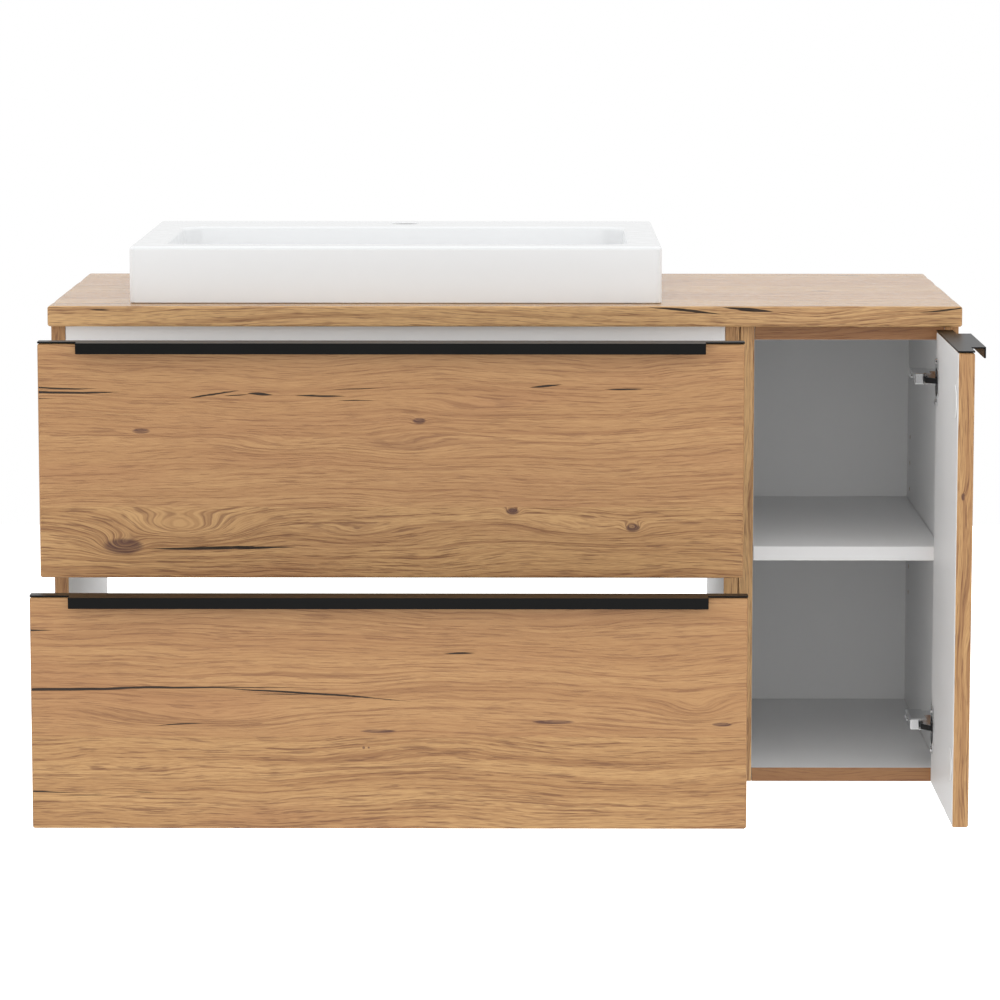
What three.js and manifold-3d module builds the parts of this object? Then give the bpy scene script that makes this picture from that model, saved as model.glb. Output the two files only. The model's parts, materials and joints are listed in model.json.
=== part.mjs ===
// Wall-hung bathroom vanity with a vessel basin: a sink cabinet with two drawers, a side cabinet
// with a hinged door, one worktop over both and a rectangular basin standing on it.
// Millimetres. +Z is up, the front faces -Y, the wall is the plane Y = 0, and +X is to the right.
// The origin is the middle of the upper back rail's rear face, where the vanity hangs on the wall.
// The model stands in its display pose: both drawers pulled out and the door open at a right angle.

import * as THREE from 'three';
import { mergeVertices } from 'three/addons/utils/BufferGeometryUtils.js';
import Module from 'manifold-3d';

const wasm = await Module();
wasm.setup();

// ---- driving dimensions ----

const SEAM = 0.3; // between two pieces that touch
const OVERCUT = 1; // how far a cutting shape runs past the face it cuts
const PANEL_T = 16; // carcass boards
const CARCASS_H = 521;
const CARCASS_D = 440;
const SINK_CABINET_W = 774;
const SIDE_CABINET_W = 245;
const CABINET_GAP = 1; // between the two carcasses

const WORKTOP_T = 23;
const WORKTOP_OVERHANG = 2; // past the carcass at each end
const WORKTOP_EDGE_R = 3;

const FRONT_T = 18; // drawer fronts and door
const FRONT_GAP = 2; // between a closed front and the carcass
const FRONT_EDGE_R = 2.5;
const FRONT_REVEAL = 2; // carcass edge left bare beside a drawer front
const DOOR_REVEAL = 1.5;
const TOP_CLEARANCE = 3.5; // under the worktop, above a handle
const MIDDLE_CLEARANCE = 3; // under the upper front, above the lower handle
const BOTTOM_REVEAL = 0.5;
const UPPER_FRONT_H = 257.5;

const HANDLE_T = 1.7;
const HANDLE_REACH = 16; // out from the front's face
const HANDLE_LIP_H = 12;
const HANDLE_END_CUT = 43; // the lip stops short of each end
const TONGUE_T = 2;
const TONGUE_DEPTH = 8;
const TONGUE_INSET = 20;

const FRONT_RAIL_H = 40;
const BACK_RAIL_H = 100;
const LOWER_RAIL_H = 80;
const BRACKET_LEG = 42;
const BRACKET_H = 36;
const BRACKET_T = 3;
const BRACKET_DROP = 8; // below the rail's top edge
const BRACKET_HOLE = 25.2; // its screw hole, from the bracket's corner
const WALL_SCREW_R = 4.5;

const RUNNER_SPACE = 13; // between the carcass side and the drawer side
const RUNNER_STEEL = 1.2;
const RUNNER_H = 45;
const RUNNER_STEP = 3.5; // each member is lower than the one around it by this much at top and bottom
const RUNNER_PLAY = 1; // between the webs of the outer and the middle member
const RUNNER_LIP_PLAY = 1.7; // between the middle member's lips and the drawer side
const RUNNER_LIFT = 25; // its middle, above the drawer side's lower edge
const RUNNER_BACK_SPACE = 24; // behind the closed runner
const UPPER_DRAWER_OUT = 138;
const LOWER_DRAWER_OUT = 244;

const BOX_T = 12; // drawer sides and back
const BOX_BOTTOM_T = 8;
const BOX_BOTTOM_LIFT = 8;
const BOX_H = 130;
const UPPER_BOX_LIFT = 13; // above the lower edge of its front
const LOWER_BOX_CLEARANCE = 10; // above the cabinet's bottom
const GUARD_W = 180; // clear width of the siphon guard
const GUARD_T = 4;
const GUARD_CORNER_R = 45;
const GUARD_FRONT_SPACE = 75; // in front of the drain's axis
const GUARD_SILL = 32; // board left under the cut-out in the drawer's back

const SIDE_BACK_T = 3;
const SIDE_BACK_INSET = 4;
const SHELF_T = 16;
const SHELF_DROP = 251; // its top, under the carcass top
const SHELF_SETBACK = 2;
const SHELF_SIDE_PLAY = 0.7;
const PIN_R = 2.5;
const PIN_PLAY = 0.3;
const PIN_DEPTH = 8;
const PIN_FLOOR_PLAY = 1;
const PIN_COLLAR_LAP = 2; // the collar's radius, past the pin's
const PIN_COLLAR_T = 1.5;
const PIN_REACH = 9; // under the shelf
const PIN_PITCH = 32;
const PIN_ROWS = 3; // holes above and below the one in use
const PIN_INSET = 37; // from the carcass front and from its back

const CUP_R = 17.2;
const CUP_DEPTH = 11.5;
const CUP_FLOOR_PLAY = 1; // between the cup's floor and its bore's
const CUP_WALL = 1.2;
const CUP_EDGE = 5; // board left between the bore and the door's edge
const CUP_FLANGE = { inner: 15, outer: 10, height: 54, t: 1.3 };
const CAP_HEAD_LAP = 1; // past the bore's edge
const CAP_HEAD_T = 1.2;
const CAP_PLUG_DEPTH = 6;
const HINGE_FROM_TOP = 60;
const HINGE_FROM_BOTTOM = 66;
const HINGE_AXIS_IN = 8.5; // effective axis, in from the cabinet's outer face
const HINGE_AXIS_OUT = 19.5; // and out from the carcass front
const DOOR_OPEN = Math.PI / 2;

// hinge arm, measured in from the cabinet's outer face and back from the carcass front
const ARM = { inner: 49, outer: 30, front: 0.5, rear: 62, height: 13, steel: 1.2, face: 8.5 };
const ARM_POST = { front: 28, rear: 54 };
const ARM_PLATE = { t: 2.5, front: 20, rear: 60, height: 50 };
const LINK_PIVOT = { inner: 37, back: 3 };
const LINK_PIN_R = 1.2;
const LINK_EYE_R = 3;
const LINK_PLAY = 0.4;
const LINK_HALF_T = 0.9;
const LINK_H = 6;
// The link's bends with the door at a right angle: from the door's inner face into the door, and
// from the cup's inner wall towards the cabinet.
const LINK_BENDS = [[-10.1, 10], [-11.2, 6.9], [-6, 0.9], [-2.9, -2.9], [0.6, -3.1]];

const BASIN_W = 600;
const BASIN_H = 64;
const BASIN_FRONT_SETBACK = 36; // behind the worktop's front edge
const BASIN_CORNER_R = 7;
const BASIN_EDGE_R = 4;
const BASIN_RIM = 37; // left, right and front
const BASIN_LEDGE = 103; // behind the bowl, for the tap
const BASIN_WALL = 10;
const BOWL_FLOOR = 20; // above the basin's foot, at the bowl's walls
const BOWL_DISH = 6; // further down, at the drain
const BOWL_DISH_INSET = 17; // the dish's edge, from the nearer bowl walls
const BOWL_UNDERSIDE = 2; // above the basin's foot
const BOWL_CORNER_R = 26;
const BOWL_FLOOR_R = 12;
const BOWL_DRAFT = 4;
const TAP_HOLE_R = 17.5;
const TAP_HOLE_INSET = 42; // from the basin's back

const DRAIN_PLAY = 2.1; // between the waste's tube and the basin
const WASTE_FLANGE_LAP = 9; // the flange's width on the basin
const WASTE_FLANGE_T = 3;
const WASTE_FLANGE_BEVEL = 3;
const WASTE_FLANGE_LIP = 1; // the height of its outer edge
const WASTE_TUBE_R = 20.9;
const WASTE_TUBE_WALL = 3;
const WASTE_TUBE_L = 92;
const SPIDER_DROP = 26; // under the flange's top
const SPIDER_H = 6;
const SPIDER_BAR_W = 4;
const SPIDER_BOSS_R = 7;
const SPIDER_BOSS_BELOW = 4; // the boss, under the bars
const SPIDER_BOSS_ABOVE = 2; // and over them
const PLUG_INSET = 3; // the plug's edge, in from the flange's
const PLUG_T = 5;
const PLUG_SHOULDER = 2; // how far its rounded edge comes in
const PLUG_CROWN = 0.6; // the rise from that edge to its middle
const PLUG_FOOT = 1;
const PLUG_STEM_R = 4;
const PLUG_STEM_L = 36;
const PLUG_PLAY = 0.4;
const GASKET_LAP = 7; // past the basin's drain hole
const GASKET_T = 3;
const NUT_WALL = 10.1; // from the tube to the nut's corners
const NUT_H = 10;
const WORKTOP_DRAIN_PLAY = 11; // round the nut's corners

// ---- places worked out from them ----

const carcassTop = BACK_RAIL_H / 2;
const carcassBottom = carcassTop - CARCASS_H;
const carcassFront = -CARCASS_D;
const sinkInner = SINK_CABINET_W / 2 - PANEL_T;
const sideLeft = SINK_CABINET_W / 2 + CABINET_GAP;
const sideRight = sideLeft + SIDE_CABINET_W;
const frontInner = carcassFront - FRONT_GAP;
const frontOuter = frontInner - FRONT_T;
const handleStack = SEAM + HANDLE_T;

const worktopLeft = -SINK_CABINET_W / 2 - WORKTOP_OVERHANG;
const worktopRight = sideRight + WORKTOP_OVERHANG;
const worktopBottom = carcassTop + SEAM;
const worktopTop = worktopBottom + WORKTOP_T;
const worktopD = -frontOuter;

const basinD = worktopD - BASIN_FRONT_SETBACK;
const basinFoot = worktopTop + SEAM;
const bowlW = BASIN_W - 2 * BASIN_RIM;
const bowlD = basinD - BASIN_LEDGE - BASIN_RIM;
const drainY = -BASIN_LEDGE - bowlD / 2;
const drainFloor = basinFoot + BOWL_FLOOR - BOWL_DISH;
const tapY = -TAP_HOLE_INSET;
const dishR = Math.min(bowlW, bowlD) / 2 - BOWL_DISH_INSET;

const drainR = WASTE_TUBE_R + DRAIN_PLAY;
const flangeR = drainR + WASTE_FLANGE_LAP;
const plugR = flangeR - PLUG_INSET;
const gasketR = drainR + GASKET_LAP;
const nutR = WASTE_TUBE_R + NUT_WALL;
const worktopDrainR = nutR + WORKTOP_DRAIN_PLAY;

const upperFrontTop = carcassTop - TOP_CLEARANCE - handleStack;
const upperFrontBottom = upperFrontTop - UPPER_FRONT_H;
const lowerFrontTop = upperFrontBottom - MIDDLE_CLEARANCE - handleStack;
const frontsBottom = carcassBottom + BOTTOM_REVEAL;
const drawerFrontW = SINK_CABINET_W - 2 * FRONT_REVEAL;

const runnerL = CARCASS_D - PANEL_T - RUNNER_BACK_SPACE;
const middleWeb = RUNNER_STEEL + SEAM + RUNNER_PLAY;
const runnerLip = RUNNER_SPACE - middleWeb - RUNNER_LIP_PLAY;
const boxOuter = sinkInner - RUNNER_SPACE;
const boxFront = frontInner + SEAM;
const boxBack = boxFront + runnerL;
const upperBoxBottom = upperFrontBottom + UPPER_BOX_LIFT;
const lowerBoxBottom = carcassBottom + PANEL_T + LOWER_BOX_CLEARANCE;

const shelfTop = carcassTop - SHELF_DROP;
const pinZ = shelfTop - SHELF_T - SEAM - PIN_R;
const pinCollarR = PIN_R + PIN_COLLAR_LAP;
const sideInnerLeft = sideLeft + PANEL_T;
const sideInnerRight = sideRight - PANEL_T;
const sideBackFace = -SIDE_BACK_INSET - SIDE_BACK_T;
const cupBoreR = CUP_R + SEAM;
const cupInset = CUP_EDGE + cupBoreR; // its axis, from the door's edge
const hingeHeights = {
  upper: carcassTop - HINGE_FROM_TOP,
  lower: carcassBottom + HINGE_FROM_BOTTOM,
};

// ---- finishes ----

const FINISHES = {
  oak: { color: 0xc79a66, roughness: 0.55, metalness: 0 },
  white_board: { color: 0xe9e9e8, roughness: 0.5, metalness: 0 },
  ceramic: { color: 0xf4f4f3, roughness: 0.1, metalness: 0 },
  black_aluminium: { color: 0x1d1c1a, roughness: 0.4, metalness: 0.8 },
  zinc_steel: { color: 0xb9bcc0, roughness: 0.35, metalness: 1 },
  chrome: { color: 0xdadde0, roughness: 0.08, metalness: 1 },
  rubber: { color: 0x222222, roughness: 0.8, metalness: 0 },
  white_plastic: { color: 0xeeeeec, roughness: 0.4, metalness: 0 },
};

const vanity = new THREE.Group();

function addPart(name, finish, geometry, parent = vanity) {
  const mesh = new THREE.Mesh(geometry, new THREE.MeshStandardMaterial(FINISHES[finish]));
  mesh.name = name;
  parent.add(mesh);
}

// ---- shape helpers ----

function box(x, y, z) {
  const geometry = new THREE.BoxGeometry(x[1] - x[0], y[1] - y[0], z[1] - z[0]);
  return geometry.translate((x[0] + x[1]) / 2, (y[0] + y[1]) / 2, (z[0] + z[1]) / 2);
}

function roundedRectangle(x, y, radius) {
  const shape = new THREE.Shape();
  shape.absarc(x[1] - radius, y[1] - radius, radius, 0, Math.PI / 2);
  shape.absarc(x[0] + radius, y[1] - radius, radius, Math.PI / 2, Math.PI);
  shape.absarc(x[0] + radius, y[0] + radius, radius, Math.PI, 1.5 * Math.PI);
  shape.absarc(x[1] - radius, y[0] + radius, radius, 1.5 * Math.PI, 2 * Math.PI);
  return shape;
}

function outline(points) {
  return new THREE.Shape(points.map(([x, y]) => new THREE.Vector2(x, y)));
}

// Extrudes a shape from one height to another; an edge radius rounds both ends inside that length.
function upright(shape, z, edge = 0, segments = 3) {
  const geometry = new THREE.ExtrudeGeometry(shape, {
    depth: z[1] - z[0] - 2 * edge,
    curveSegments: segments,
    bevelEnabled: edge > 0,
    bevelThickness: edge,
    bevelSize: edge,
    bevelOffset: -edge,
    bevelSegments: segments,
  });
  return geometry.translate(0, 0, z[0] + edge);
}

// The same, with the shape drawn in X and Z and extruded from back to front.
function fore(shape, y, edge = 0) {
  return upright(shape, [-y[1], -y[0]], edge).rotateX(Math.PI / 2);
}

// The same, with the shape drawn in Y and Z and extruded along X.
function across(shape, x) {
  const toX = new THREE.Matrix4().makeBasis(
    new THREE.Vector3(0, 1, 0), new THREE.Vector3(0, 0, 1), new THREE.Vector3(1, 0, 0));
  return upright(shape, x).applyMatrix4(toX);
}

function cylinder(radius, x, y, z, sides = 24) {
  const geometry = new THREE.CylinderGeometry(radius, radius, z[1] - z[0], sides);
  return geometry.rotateX(Math.PI / 2).translate(x, y, (z[0] + z[1]) / 2);
}

function cylinderAlongX(radius, x, y, z, sides) {
  const geometry = new THREE.CylinderGeometry(radius, radius, x[1] - x[0], sides);
  return geometry.rotateZ(Math.PI / 2).translate((x[0] + x[1]) / 2, y, z);
}

function cylinderAlongY(radius, x, y, z, sides = 28) {
  const geometry = new THREE.CylinderGeometry(radius, radius, y[1] - y[0], sides);
  return geometry.translate(x, (y[0] + y[1]) / 2, z);
}

// Revolves [radius, height] points about a vertical line.
function turned(profile, x, y, sides = 28) {
  const points = profile.map(([radius, height]) => new THREE.Vector2(radius, height));
  return new THREE.LatheGeometry(points, sides).rotateX(Math.PI / 2).translate(x, y, 0);
}

// ---- joining and cutting ----

function toSolid(geometry) {
  const bare = geometry.clone();
  bare.deleteAttribute('normal');
  bare.deleteAttribute('uv');
  const merged = mergeVertices(bare, 1e-4);
  return new wasm.Manifold(new wasm.Mesh({
    numProp: 3,
    vertProperties: new Float32Array(merged.attributes.position.array),
    triVerts: new Uint32Array(merged.index.array),
  }));
}

function toGeometry(solid) {
  const mesh = solid.getMesh();
  const geometry = new THREE.BufferGeometry();
  geometry.setAttribute('position', new THREE.BufferAttribute(mesh.vertProperties, 3));
  geometry.setIndex(new THREE.BufferAttribute(mesh.triVerts, 1));
  geometry.computeVertexNormals();
  return geometry;
}

function joinAndCut(joined, cuts = []) {
  let solid = toSolid(joined[0]);
  for (const geometry of joined.slice(1)) {
    solid = solid.add(toSolid(geometry));
  }
  for (const geometry of cuts) {
    solid = solid.subtract(toSolid(geometry));
  }
  return toGeometry(solid);
}

// ---- worktop ----

function worktop() {
  const x = [worktopLeft, worktopRight];
  const z = [worktopBottom, worktopTop];
  const through = [z[0] - OVERCUT, z[1] + OVERCUT];
  const slab = upright(roundedRectangle(x, [-worktopD, 0], WORKTOP_EDGE_R + SEAM), z, WORKTOP_EDGE_R);
  return joinAndCut([slab], [
    cylinder(worktopDrainR, 0, drainY, through, 32),
    cylinder(TAP_HOLE_R, 0, tapY, through),
  ]);
}

// ---- basin: a thin-walled ceramic box, open below, with the bowl hung in it ----

function bowlBody(growth, floor, top) {
  const x = [-bowlW / 2 - growth, bowlW / 2 + growth];
  const y = [drainY - bowlD / 2 - growth, drainY + bowlD / 2 + growth];
  const shape = roundedRectangle(x, y, BOWL_CORNER_R + growth);
  const geometry = upright(shape, [floor, top], BOWL_FLOOR_R, 4);
  const position = geometry.attributes.position;
  for (let i = 0; i < position.count; i += 1) {
    const depth = (basinFoot + BASIN_H - position.getZ(i)) / (BASIN_H - BOWL_FLOOR);
    const inward = BOWL_DRAFT * Math.max(0, depth);
    const side = position.getX(i) / (bowlW / 2);
    const front = (position.getY(i) - drainY) / (bowlD / 2);
    position.setX(i, position.getX(i) - inward * side);
    position.setY(i, position.getY(i) - inward * front);
  }
  return geometry;
}

function basin() {
  const top = basinFoot + BASIN_H;
  const x = [-BASIN_W / 2, BASIN_W / 2];
  const y = [-basinD, 0];
  const innerX = [x[0] + BASIN_WALL, x[1] - BASIN_WALL];
  const innerY = [y[0] + BASIN_WALL, y[1] - BASIN_WALL];
  const floor = basinFoot + BOWL_FLOOR;
  const skirt = toSolid(upright(roundedRectangle(x, y, BASIN_CORNER_R), [basinFoot, top], BASIN_EDGE_R))
    .subtract(toSolid(box(innerX, innerY, [basinFoot - OVERCUT, top - BASIN_WALL])));
  const hull = toSolid(bowlBody(BASIN_WALL, basinFoot + BOWL_UNDERSIDE, top + BASIN_WALL))
    .intersect(toSolid(box(x, y, [basinFoot, top - BASIN_WALL / 2])));
  const dish = new THREE.CylinderGeometry(dishR, flangeR, BOWL_DISH + OVERCUT, 40)
    .rotateX(Math.PI / 2).translate(0, drainY, floor - (BOWL_DISH - OVERCUT) / 2);
  const cuts = [
    bowlBody(0, floor, top + 3 * BOWL_FLOOR_R),
    dish,
    cylinder(flangeR + SEAM, 0, drainY, [drainFloor - WASTE_FLANGE_T, floor + OVERCUT], 32),
    cylinder(drainR, 0, drainY, [basinFoot - OVERCUT, floor]),
    cylinder(TAP_HOLE_R, 0, tapY, [top - 2 * BASIN_WALL, top + OVERCUT]),
  ];
  let solid = skirt.add(hull);
  for (const cut of cuts) {
    solid = solid.subtract(toSolid(cut));
  }
  return toGeometry(solid);
}

// ---- waste fitting in the basin's drain ----

const flangeTop = drainFloor;
const flangeSeat = flangeTop - WASTE_FLANGE_T + SEAM;
const gasketTop = basinFoot + BOWL_UNDERSIDE - SEAM;
const nutTop = gasketTop - GASKET_T - SEAM;
const plugBottom = flangeTop + SEAM;

function wasteBody() {
  const bore = WASTE_TUBE_R - WASTE_TUBE_WALL;
  const end = flangeTop - WASTE_TUBE_L;
  const tube = turned([
    [bore, end], [WASTE_TUBE_R, end], [WASTE_TUBE_R, flangeSeat], [flangeR, flangeSeat],
    [flangeR, flangeSeat + WASTE_FLANGE_LIP], [flangeR - WASTE_FLANGE_BEVEL, flangeTop],
    [bore, flangeTop], [bore, end],
  ], 0, drainY);
  const z = [flangeTop - SPIDER_DROP - SPIDER_H, flangeTop - SPIDER_DROP];
  const reach = [-bore - OVERCUT, bore + OVERCUT];
  const bar = [-SPIDER_BAR_W / 2, SPIDER_BAR_W / 2];
  const boss = [z[0] - SPIDER_BOSS_BELOW, z[1] + SPIDER_BOSS_ABOVE];
  return joinAndCut([
    tube,
    box(reach, [drainY + bar[0], drainY + bar[1]], z),
    box(bar, [drainY + reach[0], drainY + reach[1]], z),
    cylinder(SPIDER_BOSS_R, 0, drainY, boss, 20),
  ], [cylinder(PLUG_STEM_R + PLUG_PLAY, 0, drainY, [boss[0] - OVERCUT, boss[1] + OVERCUT], 20)]);
}

function wastePlug() {
  const stemEnd = plugBottom - PLUG_STEM_L;
  const top = plugBottom + PLUG_T;
  return turned([
    [0, stemEnd], [PLUG_STEM_R, stemEnd], [PLUG_STEM_R, plugBottom], [plugR - PLUG_FOOT, plugBottom],
    [plugR, plugBottom + PLUG_FOOT], [plugR, top - PLUG_SHOULDER], [plugR - PLUG_SHOULDER, top - PLUG_CROWN],
    [plugR / 2, top], [0, top],
  ], 0, drainY);
}

function wasteGasket() {
  const bore = WASTE_TUBE_R + SEAM;
  const bottom = gasketTop - GASKET_T;
  return turned([
    [bore, bottom], [gasketR, bottom], [gasketR, gasketTop], [bore, gasketTop], [bore, bottom],
  ], 0, drainY);
}

function wasteNut() {
  const hexagon = new THREE.CylinderGeometry(nutR, nutR, NUT_H, 6)
    .rotateX(Math.PI / 2).translate(0, drainY, nutTop - NUT_H / 2);
  return joinAndCut([hexagon], [
    cylinder(WASTE_TUBE_R + SEAM, 0, drainY, [nutTop - NUT_H - OVERCUT, nutTop + OVERCUT], 28),
  ]);
}

addPart('worktop', 'oak', worktop());
addPart('basin', 'ceramic', basin());
addPart('waste_body', 'chrome', wasteBody());
addPart('waste_gasket', 'rubber', wasteGasket());
addPart('waste_nut', 'white_plastic', wasteNut());
addPart('waste_plug', 'chrome', wastePlug());

// ---- sink cabinet ----

const carcassY = [carcassFront, 0];
const carcassZ = [carcassBottom, carcassTop];
const sinkBetween = [-sinkInner + SEAM, sinkInner - SEAM];
const screwZ = carcassTop - BRACKET_DROP - BRACKET_H / 2;
const screwX = sinkInner - BRACKET_HOLE;

function upperBackRail() {
  const rail = box(sinkBetween, [-PANEL_T, 0], [carcassTop - BACK_RAIL_H, carcassTop]);
  const through = [-PANEL_T - OVERCUT, OVERCUT];
  const holes = [-screwX, screwX].map((x) => cylinderAlongY(WALL_SCREW_R, x, through, screwZ, 16));
  return joinAndCut([rail], holes);
}

// A steel angle in the upper rear corner: one leg on the side panel, the other on the back rail.
function hangingBracket(side) {
  const corner = sinkInner - SEAM;
  const back = -PANEL_T - SEAM;
  const angle = outline([
    [corner, back], [corner - BRACKET_LEG, back], [corner - BRACKET_LEG, back - BRACKET_T],
    [corner - BRACKET_T, back - BRACKET_T], [corner - BRACKET_T, back - BRACKET_LEG],
    [corner, back - BRACKET_LEG],
  ].map(([x, y]) => [side * x, y]));
  const top = carcassTop - BRACKET_DROP;
  const through = [back - BRACKET_T - OVERCUT, back + OVERCUT];
  return joinAndCut([upright(angle, [top - BRACKET_H, top])],
    [cylinderAlongY(WALL_SCREW_R, side * screwX, through, screwZ, 16)]);
}

addPart('sink_cabinet_left_side', 'oak',
  box([-SINK_CABINET_W / 2, -sinkInner], carcassY, carcassZ));
addPart('sink_cabinet_right_side', 'oak',
  box([sinkInner, SINK_CABINET_W / 2], carcassY, carcassZ));
addPart('sink_cabinet_bottom', 'oak',
  box(sinkBetween, carcassY, [carcassBottom, carcassBottom + PANEL_T]));
addPart('sink_cabinet_front_rail', 'white_board',
  box(sinkBetween, [carcassFront, carcassFront + PANEL_T], [carcassTop - FRONT_RAIL_H, carcassTop]));
addPart('sink_cabinet_upper_back_rail', 'white_board', upperBackRail());
addPart('sink_cabinet_lower_back_rail', 'white_board', box(sinkBetween, [-PANEL_T, 0],
  [carcassBottom + PANEL_T + SEAM, carcassBottom + PANEL_T + SEAM + LOWER_RAIL_H]));
addPart('hanging_bracket_left', 'zinc_steel', hangingBracket(-1));
addPart('hanging_bracket_right', 'zinc_steel', hangingBracket(1));

// ---- side cabinet ----

const sideBetween = [sideInnerLeft + SEAM, sideInnerRight - SEAM];
const pinRows = [carcassFront + PIN_INSET, -PIN_INSET];

// face is the panel's inner face, and inward is +1 where the cabinet's inside lies towards +X.
function drilledSide(x, face, inward) {
  const floor = face - inward * (PIN_DEPTH + PIN_FLOOR_PLAY);
  const bore = [floor, face + inward * OVERCUT].sort((a, b) => a - b);
  const holes = [];
  for (const y of pinRows) {
    for (let row = -PIN_ROWS; row <= PIN_ROWS; row += 1) {
      holes.push(cylinderAlongX(PIN_R + PIN_PLAY, bore, y, pinZ + row * PIN_PITCH, 10));
    }
  }
  return joinAndCut([box(x, carcassY, carcassZ)], holes);
}

function shelfPin(face, inward, y) {
  const pin = new THREE.LatheGeometry([
    [0, -PIN_DEPTH], [PIN_R, -PIN_DEPTH], [PIN_R, SEAM], [pinCollarR, SEAM],
    [pinCollarR, SEAM + PIN_COLLAR_T], [PIN_R, SEAM + PIN_COLLAR_T], [PIN_R, PIN_REACH], [0, PIN_REACH],
  ].map(([radius, along]) => new THREE.Vector2(radius, along)), 10);
  pin.rotateZ(-inward * Math.PI / 2);
  return pin.translate(face, y, pinZ);
}

addPart('side_cabinet_left_side', 'oak', drilledSide([sideLeft, sideInnerLeft], sideInnerLeft, 1));
addPart('side_cabinet_right_side', 'oak', drilledSide([sideInnerRight, sideRight], sideInnerRight, -1));
addPart('side_cabinet_top', 'oak', box(sideBetween, carcassY, [carcassTop - PANEL_T, carcassTop]));
addPart('side_cabinet_bottom', 'oak',
  box(sideBetween, carcassY, [carcassBottom, carcassBottom + PANEL_T]));
addPart('side_cabinet_back', 'white_board', box(sideBetween, [sideBackFace, -SIDE_BACK_INSET],
  [carcassBottom + PANEL_T + SEAM, carcassTop - PANEL_T - SEAM]));

// The shelf is notched over the collars of its pins.
function shelf() {
  const x = [sideInnerLeft + SHELF_SIDE_PLAY, sideInnerRight - SHELF_SIDE_PLAY];
  const y = [carcassFront + SHELF_SETBACK, sideBackFace - SHELF_SIDE_PLAY];
  const z = [shelfTop - SHELF_T, shelfTop];
  const notchDepth = PIN_COLLAR_T + 2 * SEAM;
  const cuts = [];
  for (const rowY of pinRows) {
    for (const [face, inward] of [[sideInnerLeft, 1], [sideInnerRight, -1]]) {
      const notchX = [face, face + inward * notchDepth].sort((a, b) => a - b);
      cuts.push(box([notchX[0] - SEAM, notchX[1] + SEAM],
        [rowY - pinCollarR - SEAM, rowY + pinCollarR + SEAM],
        [z[0] - OVERCUT, pinZ + pinCollarR + SEAM]));
    }
  }
  return joinAndCut([box(x, y, z)], cuts);
}

addPart('shelf', 'white_board', shelf());
for (const [sideName, face, inward] of [['left', sideInnerLeft, 1], ['right', sideInnerRight, -1]]) {
  addPart(`shelf_pin_front_${sideName}`, 'zinc_steel', shelfPin(face, inward, pinRows[0]));
  addPart(`shelf_pin_back_${sideName}`, 'zinc_steel', shelfPin(face, inward, pinRows[1]));
}

// ---- edge-profile handles ----

const grooveT = TONGUE_T + 2 * SEAM;
const grooveMiddle = (frontInner + frontOuter) / 2;

// An aluminium angle over the top edge of a front, its tongue pressed into a groove there.
function edgeHandle(x, frontTop) {
  const bottom = frontTop + SEAM;
  const top = bottom + HANDLE_T;
  const lipFace = frontOuter - HANDLE_REACH;
  const angle = outline([
    [frontInner, bottom], [frontInner, top], [lipFace, top], [lipFace, top - HANDLE_LIP_H],
    [lipFace + HANDLE_T, top - HANDLE_LIP_H], [lipFace + HANDLE_T, bottom],
  ]);
  const tongue = [grooveMiddle - TONGUE_T / 2, grooveMiddle + TONGUE_T / 2];
  return joinAndCut([
    box(x, [frontOuter, frontInner], [bottom, top]),
    across(angle, [x[0] + HANDLE_END_CUT, x[1] - HANDLE_END_CUT]),
    box([x[0] + TONGUE_INSET, x[1] - TONGUE_INSET], tongue, [bottom - TONGUE_DEPTH, bottom + HANDLE_T / 2]),
  ]);
}

function handleGroove(x, frontTop) {
  return box([x[0] + TONGUE_INSET - SEAM, x[1] - TONGUE_INSET + SEAM],
    [grooveMiddle - grooveT / 2, grooveMiddle + grooveT / 2],
    [frontTop - TONGUE_DEPTH, frontTop + OVERCUT]);
}

function frontBoard(x, z) {
  return fore(roundedRectangle(x, z, FRONT_EDGE_R + SEAM), [frontOuter, frontInner], FRONT_EDGE_R);
}

// ---- telescopic runners ----

// A steel channel: web is the web's face on the mouth's far side, mouth is the side its lips reach to.
function channel(web, lipEnd, height, y, z) {
  const towards = Math.sign(lipEnd - web);
  const inside = web + towards * RUNNER_STEEL;
  const top = z + height / 2;
  const bottom = z - height / 2;
  return fore(outline([
    [web, bottom], [web, top], [lipEnd, top], [lipEnd, top - RUNNER_STEEL], [inside, top - RUNNER_STEEL],
    [inside, bottom + RUNNER_STEEL], [lipEnd, bottom + RUNNER_STEEL], [lipEnd, bottom],
  ]), y);
}

// Each member's channel, measured in from the carcass side: the outer one opens towards the drawer,
// the middle one too, and the inner one is fixed on the drawer and opens back towards the carcass.
function runnerMembers(side, boxBottom) {
  const z = boxBottom + RUNNER_LIFT;
  const y = [boxFront, boxBack];
  const place = (inward) => side * (sinkInner - inward);
  const innerWeb = RUNNER_SPACE - SEAM;
  return {
    outer: channel(place(SEAM), place(SEAM + runnerLip), RUNNER_H, y, z),
    middle: channel(place(middleWeb), place(middleWeb + runnerLip), RUNNER_H - 2 * RUNNER_STEP, y, z),
    inner: channel(place(innerWeb), place(innerWeb - runnerLip + RUNNER_STEEL),
      RUNNER_H - 4 * RUNNER_STEP, y, z),
  };
}

// ---- drawers: modelled shut, then moved forward by how far each stands open ----

const guardOuter = GUARD_W / 2 + GUARD_T;
const guardFront = drainY - GUARD_FRONT_SPACE;

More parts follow.
